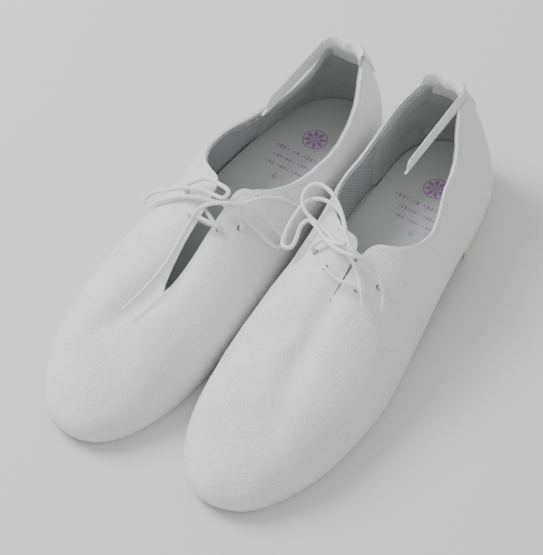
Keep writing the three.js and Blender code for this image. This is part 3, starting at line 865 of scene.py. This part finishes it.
heel_rubber = plain_sheet("heel_rubber", (0.64, 0.63, 0.60), (0.55, 0.54, 0.51), 0.8 * MM, 0.15 * MM, 0.7)
fibre_board = plain_sheet(
    "pressed_fibre_board", (0.56, 0.43, 0.28), (0.42, 0.31, 0.19), 0.5 * MM, 0.1 * MM, 0.9)
felt = plain_sheet("felt_filler", (0.50, 0.42, 0.32), (0.38, 0.31, 0.22), 0.6 * MM, 0.2 * MM, 0.95)
ink = plain_sheet("violet_ink", (0.38, 0.16, 0.42), (0.52, 0.30, 0.56), 0.35 * MM, 0.01 * MM, 0.5)
thread_white = plain_sheet("sewing_thread", (0.82, 0.82, 0.81), (0.72, 0.72, 0.71), 0.2 * MM, 0.02 * MM, 0.6)
# the needle holes are grey flat beads: painted shade of the holes
needle_hole_shade = plain_sheet("needle_hole_shade", (0.42, 0.42, 0.42), (0.30, 0.30, 0.31), 0.2 * MM, 0.02 * MM, 0.9)

# %% [markdown]
# ## Braid
#
# A round braid shows strands that cross in both directions. Two sines of the tube's own coordinates, one
# winding left and one right, and the larger of the two, give that plait as height and as a faint shade.

# %% Lace materials
def braid(name, colour, shade, roughness, coat):
    paint = Paint(name, roughness=roughness, coat_weight=coat, coat_roughness=0.15)
    split = paint.node("ShaderNodeSeparateXYZ", {}, {0: paint.cloth()})
    along, round_it = split, Wire(paint, split.socket.node.outputs[1])
    strands = [paint.node("ShaderNodeMath", {"operation": "SINE"},
                          {0: along * (2 * math.pi / (1.7 * MM)) + round_it * (way * 8 * math.pi)})
               for way in (1, -1)]
    higher = paint.node("ShaderNodeMath", {"operation": "MAXIMUM"}, {0: strands[0], 1: strands[1]})
    plait = 0.5 + 0.5 * higher
    paint.set(base_color=paint.mix(plait, shade, colour), normal=paint.bump(plait, 0.12 * MM))
    return paint.material


lace_braid = braid("white_braid", (0.86, 0.86, 0.85), (0.70, 0.70, 0.70), 0.6, 0.0)
lace_film = braid("film_over_braid", (0.86, 0.86, 0.85), (0.78, 0.78, 0.78), 0.35, 0.5)
for side, (lace, line, length) in laces.items():
    finish_piece(lace, side, "lace", lace_braid)
    ends = [finish_piece(tips[side, place], side, f"lace_tip_{place}", lace_film)
            for place in ("first", "last")]
    line[0] * MM
    length * MM
    (line * MM).tolist()

# %% [markdown]
# ## The leather upper and the cloth layers
#
# Each layer is the sagged form cut to its own pattern and given its own depth under the surface. The upper
# is the outside skin with its margin turned under. The linings stop where the walls meet the floor. The heel
# grip lies behind the stiffener, and comes up to the leather at the topline, where both are sewn.

# %% Shoe frame
HEEL_LINE = 33.8               # from the pair's middle plane to each heel's centre line


def to_pair(side, points):
    """Points in a shoe's own frame, in millimetres, to the pair's frame in metres."""
    low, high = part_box(f"{side}_outsole")
    start = (low.y + high.y) / 2 / MM - LENGTH / 2
    sign = SIDES[side]
    return np.column_stack((sign * (HEEL_LINE + points[:, 0]), start + points[:, 1], points[:, 2])) * MM


def shoe_mesh(name, side, points, faces, cloth=None, sharp=40):
    if SIDES[side] < 0:
        faces = [list(reversed(face)) for face in faces]
    return make_mesh(f"{side}_{name}", to_pair(side, points), faces, cloth, sharp)

# %% Layers
FACING_START = 110
FACING_WIDTH = 26
FACING_LOW = 46
COUNTER_START = 208
LINING_EDGE = 0.3              # linings are trimmed this much behind the leather's edge


def smooth_step(value):
    value = np.clip(value, 0, 1)
    return value ** 2 * (3 - 2 * value)


def layer(name, side, slot, material, cuts, outer, inner):
    """One wall between the depths outer and inner under the sagged surface, replacing its CAD node."""
    data, faces, _ = forms[side]
    for cut in cuts:
        data, faces = clip(data, faces, cut(data))
    depth = [level(data)[:, None] if callable(level) else level for level in (outer, inner)]
    walls = [data[:, SAGGED] - data[:, NORMAL] * level for level in depth]
    points, solid = thicken(*walls, faces)
    piece = shoe_mesh(name, side, points, solid, np.vstack((data[:, CLOTH], data[:, CLOTH])) * MM)
    finish_piece(piece, side, name, material)
    print(piece.name, len(piece.data.polygons), "faces")
    return data, faces


def make_layers(side):
    shape = SHAPES[side]
    slit = shape["slit"]
    holes = forms[side][2]

    def opened(drop):
        return lambda data: opening_value(data[:, PLACE] + (0, 0, drop), shape) - min(drop, LINING_EDGE)

    def punched(hole):
        return lambda data: hole_value(data[:, PLACE], hole)

    def walls_only(data):
        return data[:, 2] - seat(data[:, 1]) - LEATHER - GAP

    def from_t(t0, t1):
        return lambda data: np.minimum(data[:, 1] - t0, t1 - data[:, 1])

    def facing(grow):
        return lambda data: np.minimum.reduce((
            data[:, 1] - FACING_START + grow, FACING_WIDTH + grow - np.abs(data[:, 0] - slit),
            data[:, 2] - FACING_LOW + grow))

    def grip_depth(data):
        below = opening_value(data[:, PLACE], shape)
        behind = data[:, 1] - COUNTER_START
        return LEATHER + GAP + (COUNTER + GAP) * smooth_step((below - 1.5) / 4) * smooth_step(behind / 5)

    punches = [punched(hole) for hole in holes]
    upper = layer("upper", side, "upper_leather", white_leather, [opened(0), *punches], 0, LEATHER)
    trimmed = [opened(LINING_EDGE), walls_only, *punches]
    skin_depth = LEATHER + GAP
    layer("vamp_lining", side, "lining_cloth", vamp_cloth,
          [*trimmed, from_t(-9, FACING_START - GAP)], skin_depth, skin_depth + LINING)
    for name, way, cloth in (("outer", 1, lining_outer), ("inner", -1, lining_inner)):
        half = (lambda way: lambda data: way * (data[:, 0] - slit))(way)
        layer(f"quarter_lining_{name}", side, "lining_cloth", cloth,
              [*trimmed, from_t(FACING_START, COUNTER_START - GAP), half,
               lambda data: -facing(GAP)(data)], skin_depth, skin_depth + LINING)
        layer(f"eyelet_facing_{name}", side, "facing_leather", facing_leather,
              [*trimmed, from_t(FACING_START, THROAT + 30), half, facing(0)],
              skin_depth, skin_depth + LINING)
    layer("heel_counter", side, "counter_board", fibre_board,
          [opened(6), walls_only, from_t(COUNTER_START + 6, LENGTH + 20)], skin_depth, skin_depth + COUNTER)
    layer("heel_grip", side, "heel_lining", heel_cloth,
          [opened(LINING_EDGE), walls_only, from_t(COUNTER_START, LENGTH + 20)],
          grip_depth, lambda data: grip_depth(data) + LINING)
    return upper


uppers = {side: make_layers(side) for side in SIDES}

# %% [markdown]
# ## Soles, boards and socks
#
# Everything under the foot is cut from sheet to the sole's outline, drawn in by a different amount for each
# layer. The edge is softened by a short rounded profile, and strips across the shoe close the top and the
# bottom, so the sheet bends only along the shoe, as a real sole does over its arch.

# %% Flat layers
SOLE_ROWS = 150
STRIPS = 10


def slab(name, side, material, inset, low, high, start=0.0, soft=0.35):
    """A sheet between two heights that follow t, drawn in from the sole edge, replacing its CAD node."""
    turns = np.linspace(math.acos(1 - 2 * start / LENGTH), math.pi, SOLE_ROWS + 1)
    profile = [(soft, 0, 0), (0.3 * soft, 0, 0.3 * soft), (0, 0, soft),
               (0, 1, -soft), (0.3 * soft, 1, -0.3 * soft), (soft, 1, 0)]
    edges = []
    for way in (1, -1):
        turn = turns * way
        turn[-1] = math.pi
        if start == 0:
            turn[0] = 0
        rings = []
        for step_in, top, lift in profile:
            foot = edge(turn) - (inset + step_in) * edge_normal(turn)
            level = np.asarray((high if top else low)(foot[:, 1]), float) + lift
            rings.append(np.column_stack((foot, np.broadcast_to(level, len(foot)))))
        edges.append(np.stack(rings, axis=1))
    outer, inner = edges
    across = np.linspace(0, 1, STRIPS + 1)[1:-1, None]
    ring = []
    for j in range(SOLE_ROWS + 1):
        top = outer[j, -1] + across * (inner[j, -1] - outer[j, -1])
        bottom = inner[j, 0] + across * (outer[j, 0] - inner[j, 0])
        ring.append(np.concatenate((outer[j], top, inner[j, ::-1], bottom)))
    size = len(ring[0])
    points = np.concatenate(ring)
    faces = [[j * size + i, (j + 1) * size + i, (j + 1) * size + (i + 1) % size, j * size + (i + 1) % size]
             for j in range(SOLE_ROWS) for i in range(size)]
    if start > 0:
        faces.append(list(range(size)))
    piece = shoe_mesh(name, side, points, faces)
    merge_close(piece)
    finish_piece(piece, side, name, material)
    print(piece.name, len(piece.data.polygons), "faces")

# %% Make them
WALL_ROOM = LEATHER + 3 * GAP + COUNTER + LINING + 0.5
HEEL_FRONT = 203
BOARD_LOW = LEATHER + GAP
SOCK_LOW = BOARD_LOW + BOARD + GAP
for side in SIDES:
    slab("outsole", side, sole_rubber, SOLE_INSET,
         underside, lambda t: underside(t) + SOLE, soft=0.5)
    slab("bottom_filler", side, felt, MARGIN + 1.5, seat, lambda t: seat(t) + LEATHER - 0.1)
    slab("insole_board", side, fibre_board, WALL_ROOM,
         lambda t: seat(t) + BOARD_LOW, lambda t: seat(t) + BOARD_LOW + BOARD)
    slab("sock", side, sock_sheet, WALL_ROOM - 0.6,
         lambda t: seat(t) + SOCK_LOW, lambda t: seat(t) + SOCK_LOW + SOCK)
    slab("heel_lift", side, sole_rubber, SOLE_INSET + 0.6, lambda t: 0 * t + TOP_PIECE + GAP,
         lambda t: underside(t) - GAP, HEEL_FRONT)
    slab("heel_top_piece", side, heel_rubber, SOLE_INSET + 0.6, lambda t: 0 * t,
         lambda t: 0 * t + TOP_PIECE, HEEL_FRONT, soft=0.5)

# %% [markdown]
# ## Pull tab
#
# A strip of the upper's leather is folded over the top of the heel and sewn down inside and out, so the
# wearer can pull the shoe on. Its path goes up the outside, over in a small free roll and down the inside.
# The places of both walls come from rays cast at the sagged form, so the strip follows the heel's curve.

# %% Pull tabs
TAB_WIDTH = 24
TAB_LEATHER = 1.2
TAB_MIDDLE = -4.5
TAB_LOW_OUTSIDE = 57
TAB_LOW_INSIDE = 62
TAB_CORNER = 7
TAB_ROLL = 81.2                # top of the roll, on its middle line
WALL = LEATHER + GAP + COUNTER + GAP + LINING
TAB_COLUMNS = 33
TAB_T = 243                    # where the collar's height is read for the roll


def tab_path(tree, x, rounded):
    """The middle line of the strip at x: points of (x, t, z)."""
    def wall(z):               # the nearest wall below, where there is none at that height
        heights = np.arange(z, TAB_LOW_OUTSIDE - 10, -0.5)
        hits = (tree.ray_cast(Vector((x, LENGTH + 60, height)), Vector((0, -1, 0)))[0] for height in heights)
        return next(hit.y for hit in hits if hit)

    clear = GAP + TAB_LEATHER / 2
    top = np.interp(TAB_T, *zip(*OUTER_TOPLINE))
    outside = [(x, wall(z) + clear, z) for z in np.linspace(TAB_LOW_OUTSIDE, top - 0.5, 14)]
    reach = WALL + 2 * clear
    centre = wall(top) + clear - reach / 2
    rise = TAB_ROLL - top
    arc = [(x, centre + reach / 2 * math.cos(a), top + rise * math.sin(a))
           for a in np.linspace(0.12, math.pi - 0.12, 15)]
    inside = [(x, wall(z) - WALL - clear, z) for z in np.linspace(top - 0.5, TAB_LOW_INSIDE + rounded, 12)]
    return np.array(outside + arc + inside)


def pull_tab(side):
    data, faces, _ = forms[side]
    tree = BVHTree.FromPolygons(data[:, SAGGED].tolist(), faces)
    columns = []
    half = TAB_WIDTH / 2
    for x in np.linspace(-half, half, TAB_COLUMNS):
        past = max(0.0, abs(x) - (half - TAB_CORNER))
        rounded = TAB_CORNER - math.sqrt(TAB_CORNER ** 2 - past ** 2)
        columns.append(tab_path(tree, x + TAB_MIDDLE, rounded))
    rows = len(columns[0])
    points = np.concatenate(columns)
    grid = [[i * rows + j, i * rows + j + 1, (i + 1) * rows + j + 1, (i + 1) * rows + j]
            for i in range(TAB_COLUMNS - 1) for j in range(rows - 1)]
    normals = point_normals(points, grid)
    outward = 1 if normals[rows // 8][1] > 0 else -1
    walls = [points + outward * way * TAB_LEATHER / 2 * normals for way in (1, -1)]
    if outward < 0:
        grid = [face[::-1] for face in grid]
    piece = shoe_mesh("pull_tab", side, *thicken(*walls, grid))
    finish_piece(piece, side, "pull_tab", white_leather)
    print(piece.name, "box", [round(v, 4) for v in (*map(min, zip(*[v.co for v in piece.data.vertices])),)])


for side in SIDES:
    pull_tab(side)

# %% [markdown]
# ## Stitches
#
# One row of machine stitches runs 3 mm inside the edge of the opening round the collar; none run along
# the slit. A stitch is a short rounded piece of thread between two needle holes, repeated hundreds of times,
# which is what Geometry Nodes are for: a cloud of points carries the heading and the facing of each stitch,
# and one tree puts a thread and a grey flat bead on every point; the bead's grey is painted shade for the
# hole.

# %% Stitch tree
def stitch_tree():
    tree = bpy.data.node_groups.new("stitch_row", "GeometryNodeTree")
    face = tree.interface
    face.new_socket("Points", in_out="INPUT", socket_type="NodeSocketGeometry")
    sizes = {}
    for label, value in (("Stitch length", 2.2 * MM), ("Thread thickness", 0.5 * MM), ("Hole size", 0.65 * MM),
                         ("Pitch", 3.0 * MM)):
        socket = face.new_socket(label, in_out="INPUT", socket_type="NodeSocketFloat")
        socket.default_value = value
        sizes[label] = socket.identifier
    for label in ("Thread", "Hole"):
        sizes[label] = face.new_socket(label, in_out="INPUT", socket_type="NodeSocketMaterial").identifier
    face.new_socket("Stitches", in_out="OUTPUT", socket_type="NodeSocketGeometry")

    def node(kind, settings=None, links=None):
        made = tree.nodes.new(kind)
        for name, value in (settings or {}).items():
            setattr(made, name, value)
        for key, value in (links or {}).items():
            if isinstance(value, bpy.types.NodeSocket):
                tree.links.new(value, made.inputs[key])
            else:
                made.inputs[key].default_value = value
        return made

    given = node("NodeGroupInput").outputs

    def carried(name):
        settings = {"data_type": "FLOAT_VECTOR"}
        return node("GeometryNodeInputNamedAttribute", settings, {"Name": name}).outputs[0]

    heading, facing = carried("heading"), carried("facing")
    turned = node("FunctionNodeAlignRotationToVector", {"axis": "X"}, {"Vector": heading}).outputs[0]
    turned = node("FunctionNodeAlignRotationToVector", {"axis": "Z", "pivot_axis": "X"},
                  {"Rotation": turned, "Vector": facing}).outputs[0]

    def beads(size, material, shift):
        ball = node("GeometryNodeMeshUVSphere", None, {"Segments": 8, "Rings": 5, "Radius": 0.5})
        smooth = node("GeometryNodeSetShadeSmooth", None, {0: ball.outputs[0]}).outputs[0]
        step = node("ShaderNodeVectorMath", {"operation": "SCALE"}, {0: heading, "Scale": shift}).outputs[0]
        moved = node("GeometryNodeSetPosition", None, {0: given["Points"], "Offset": step}).outputs[0]
        placed = node("GeometryNodeInstanceOnPoints", None, {
            "Points": moved, "Instance": smooth, "Rotation": turned, "Scale": size}).outputs[0]
        real = node("GeometryNodeRealizeInstances", None, {0: placed}).outputs[0]
        return node("GeometryNodeSetMaterial", None, {0: real, "Material": material}).outputs[0]

    thread_size = node("ShaderNodeCombineXYZ", None, {
        0: given["Stitch length"], 1: given["Thread thickness"], 2: given["Thread thickness"]}).outputs[0]
    flat = node("ShaderNodeMath", {"operation": "MULTIPLY"}, {0: given["Hole size"], 1: 0.35}).outputs[0]
    hole_size = node("ShaderNodeCombineXYZ", None, {
        0: given["Hole size"], 1: given["Hole size"], 2: flat}).outputs[0]
    half = node("ShaderNodeMath", {"operation": "MULTIPLY"}, {0: given["Pitch"], 1: 0.5}).outputs[0]
    both = node("GeometryNodeJoinGeometry")
    # the hole beads are grey: painted shade standing for the needle holes
    for part in (beads(thread_size, given["Thread"], 0.0), beads(hole_size, given["Hole"], half)):
        tree.links.new(part, both.inputs[0])
    out = node("NodeGroupOutput")
    tree.links.new(both.outputs[0], out.inputs[0])
    return tree, sizes


STITCH_TREE, STITCH_INPUTS = stitch_tree()


def sew(name, side, places, headings, facings, slot, **sizes):
    """Stitches at places on a shoe, given in its own frame in millimetres."""
    sign = np.array((SIDES[side], 1, 1))
    cloud = bpy.data.meshes.new(name)
    cloud.from_pydata(to_pair(side, places).tolist(), [], [])
    for label, values in (("heading", headings * sign), ("facing", facings * sign)):
        cloud.attributes.new(label, "FLOAT_VECTOR", "POINT").data.foreach_set("vector", values.ravel())
    seed = bpy.data.objects.new(name, cloud)
    bpy.context.scene.collection.objects.link(seed)
    modifier = seed.modifiers.new("stitches", "NODES")
    modifier.node_group = STITCH_TREE
    modifier[STITCH_INPUTS["Thread"]] = thread_white
    modifier[STITCH_INPUTS["Hole"]] = needle_hole_shade
    for label, value in sizes.items():
        modifier[STITCH_INPUTS[label.replace("_", " ").capitalize()]] = value * MM
    made = bpy.data.meshes.new_from_object(seed.evaluated_get(bpy.context.evaluated_depsgraph_get()))
    bpy.data.objects.remove(seed)
    piece = bpy.data.objects.new(f"{side}_{name}", made)
    bpy.context.scene.collection.objects.link(piece)
    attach(piece, f"{side}_shoe")
    print(piece.name, len(places), "stitches")
    return piece

# %% Stitch rows round the opening
STITCH_IN = 2.8
STITCH_PITCH = 3.0


def border_loop(data, faces, shape):
    """The edge of the opening and slit as one ordered line of points with their normals."""
    after = {}
    for face in faces:
        for a, b in zip(face, [*face[1:], face[0]]):
            after.setdefault(a, {})[b] = True
    border = {a: b for a in after for b in after[a] if a not in after.get(b, {})}
    on_cut = np.abs(opening_value(data[:, PLACE], shape)) < 0.5
    best = []
    seen = set()
    for start in border:
        loop = []
        k = start
        while k not in seen and k in border and on_cut[k]:
            seen.add(k)
            loop.append(k)
            k = border[k]
        if len(loop) > len(best):
            best = loop
    return best


def edge_stitches(side):
    data, faces = uppers[side]
    shape = SHAPES[side]
    loop = border_loop(data, faces, shape)
    line = data[loop, SAGGED]
    closed = np.vstack((line, line[:1]))
    travelled = np.concatenate(([0], np.cumsum(np.linalg.norm(np.diff(closed, axis=0), axis=1))))
    places = np.arange(0, travelled[-1], STITCH_PITCH)

    def at(distance):
        wrapped = distance % travelled[-1]
        return np.stack([np.interp(wrapped, travelled, closed[:, k]) for k in range(3)], axis=1)

    heading = at(places + 1.5) - at(places - 1.5)
    heading /= np.linalg.norm(heading, axis=1, keepdims=True)
    tree = BVHTree.FromPolygons(data[:, SAGGED].tolist(), faces)
    spots = []
    ways = []
    normals = []
    for point, way in zip(at(places), heading):
        facing = np.array(tree.find_nearest(Vector(point))[1])
        into = np.cross(facing, way)
        spot, normal, _, away = tree.find_nearest(Vector(point + STITCH_IN * into))
        if away > 1.2:
            spot, normal, _, away = tree.find_nearest(Vector(point - STITCH_IN * into))
        spots.append(np.array(spot))
        ways.append(way)
        normals.append(np.array(normal))
    spots, ways, normals = np.array(spots), np.array(ways), np.array(normals)
    on_collar = (spots[:, 1] > THROAT) | (np.abs(spots[:, 0] - shape["slit"]) > 9)
    return spots[on_collar], ways[on_collar], normals[on_collar]


for side in SIDES:
    spots, ways, normals = edge_stitches(side)
    sew("edge_stitches", side, spots, ways, normals, "lace_braid")

# %% [markdown]
# ## Printed sock
#
# The sock carries a printed device, a few printed lines and a size number in violet ink. The device is a
# plain rosette and the lines are rows of dashes. Ink has next to no thickness, but a thin sheet of its own
# just above the sock gives crisp edges without a picture, and the same thickening as the leather closes it.

# %% Ink shapes, in millimetres, as seen by a reader standing at the toes
INK_LIFT = 0.03
INK_THICK = 0.04


def ring_shape(centre, outer, inner, count=48):
    angles = 2 * np.pi * np.arange(count) / count
    circle = np.column_stack((np.cos(angles), np.sin(angles)))
    points = np.vstack((centre + outer * circle, centre + inner * circle))
    faces = [[k, (k + 1) % count, count + (k + 1) % count, count + k] for k in range(count)]
    return points, faces


def disc_shape(centre, long, short, turn, count=24):
    angles = 2 * np.pi * np.arange(count) / count
    ellipse = np.column_stack((long * np.cos(angles), short * np.sin(angles)))
    spin = np.array(((math.cos(turn), math.sin(turn)), (-math.sin(turn), math.cos(turn))))
    points = np.vstack(((0.0, 0.0), ellipse)) @ spin + centre
    return points, [[0, 1 + k, 1 + (k + 1) % count] for k in range(count)]


def bar_shape(x0, x1, y0, y1):
    return np.array(((x0, y0), (x1, y0), (x1, y1), (x0, y1)), float), [[0, 1, 2, 3]]


def rosette(x, y):
    parts = [ring_shape((x, y), 7.2, 6.5), ring_shape((x, y), 2.0, 1.3)]
    for k in range(8):
        angle = math.pi * (k + 0.5) / 4
        parts.append(disc_shape((x + 4.2 * math.cos(angle), y + 4.2 * math.sin(angle)), 1.9, 1.15, angle))
    parts.append(disc_shape((x, y), 0.7, 0.7, 0))
    return parts


def dashes(x, y, words, height):
    """A row of words, each a number of short upright strokes, centred on x."""
    stroke, space = 0.62 * height, 0.42 * height
    width = sum(count * (stroke + space) for count in words) + (len(words) - 1) * 2 * space
    cursor = x - width / 2
    parts = []
    for count in words:
        for k in range(count):
            low, high = (0, 1) if k % 3 else (0.3, 0.7)
            parts.append(bar_shape(
                cursor, cursor + stroke, y + (low - 0.5) * height, y + (high - 0.5) * height))
            cursor += stroke + space
        cursor += 2 * space
    return parts


def size_number(x, y, text, height):
    letters = bpy.data.curves.new("size_number", "FONT")
    letters.body = text
    letters.size = height * 1.4
    letters.align_x = "CENTER"
    letters.align_y = "CENTER"
    letters.resolution_u = 6
    holder = bpy.data.objects.new("size_number", letters)
    mesh = bpy.data.meshes.new_from_object(holder)
    bpy.data.objects.remove(holder)
    points = np.array([vertex.co[:2] for vertex in mesh.vertices]) + (x, y)
    return [(points, [list(polygon.vertices) for polygon in mesh.polygons])]


def sock_print(side):
    sign = SIDES[side]
    heel = to_pair(side, np.array(((0.0, 0.0, 0.0),)))[0] / MM
    parts = [*rosette(sign * 3.5, 225), *dashes(sign * 3, 211, (4, 2, 7), 2.2),
             *dashes(sign * 4.5, 204.3, (7, 5), 1.9), *dashes(sign * 6, 198, (3, 4, 4), 1.9),
             *size_number(sign * 8, 190.5, "6", 4.4)]
    points = []
    faces = []
    for shape, ring in parts:
        start = len(points)
        points += [(x, y) for x, y in shape]
        faces += [[start + k for k in face] for face in ring]
    flat = np.array(points)
    top = seat(flat[:, 1]) + SOCK_LOW + SOCK + INK_LIFT
    upper = np.column_stack((heel[0] + flat[:, 0], heel[1] + flat[:, 1], top + INK_THICK)) * MM
    lower = upper - (0, 0, INK_THICK * MM)
    piece = make_mesh(f"{side}_sock_print", *thicken(upper, lower, faces), sharp=20)
    finish_piece(piece, side, None, ink)
    print(piece.name, len(parts), "shapes")


for side in SIDES:
    sock_print(side)

# %% [markdown]
# ## Floor and light
#
# The pair lies on plain pale paper. One large soft light from the upper left models the creases, and the pale
# surroundings fill the shadows, so the darkest shadow is still light grey.

# %% Studio
FLOOR_SIZE = 6
floor_paint = Paint("pale_paper", roughness=0.9, specular_ior_level=0.1)
paper = 0.5 + 0.5 * floor_paint.cloud(floor_paint.place(), 0.6, 2)
floor_paint.set(base_color=floor_paint.mix(paper, (0.70, 0.70, 0.705), (0.72, 0.72, 0.72)))
corner = FLOOR_SIZE / 2
floor = make_mesh("paper_floor", [(-corner, -corner, 0), (corner, -corner, 0), (corner, corner, 0),
                                  (-corner, corner, 0)], [[0, 1, 2, 3]])
floor.data.materials.append(floor_paint.material)
floor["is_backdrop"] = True

world = bpy.data.worlds.new("studio")
world.use_nodes = True
world.node_tree.nodes["Background"].inputs["Color"].default_value = (1, 1, 1, 1)
world.node_tree.nodes["Background"].inputs["Strength"].default_value = 0.84
bpy.context.scene.world = world


def softbox(name, way, distance, size, power):
    light = bpy.data.lights.new(name, "AREA")
    light.shape = "DISK"
    light.size = size
    light.energy = power
    holder = bpy.data.objects.new(name, light)
    way = Vector(way).normalized()
    holder.location = AIM + distance * way
    holder.rotation_mode = "QUATERNION"
    holder.rotation_quaternion = way.to_track_quat("Z", "Y")
    bpy.context.scene.collection.objects.link(holder)


view_left = -Vector((math.cos(AZIMUTH), math.sin(AZIMUTH), 0))
view_far = Vector((-math.sin(AZIMUTH), math.cos(AZIMUTH), 0))
softbox("key_softbox", 0.75 * view_left + 0.45 * view_far + Vector((0, 0, 0.9)), 1.6, 0.9, 26)

# %% [markdown]
# ## Finish
#
# The growth of the model's box from before to after is printed, to see that the looks kept the CAD's size.

# %% Sizes and finish
visual_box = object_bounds()
boxes = {"cad": [list(corner) for corner in cad_box], "visual": [list(corner) for corner in visual_box]}
print("grew by, in mm:", [[round((b - a) / MM, 2) for a, b in zip(*pair)]
                          for pair in zip(boxes["cad"], boxes["visual"])])
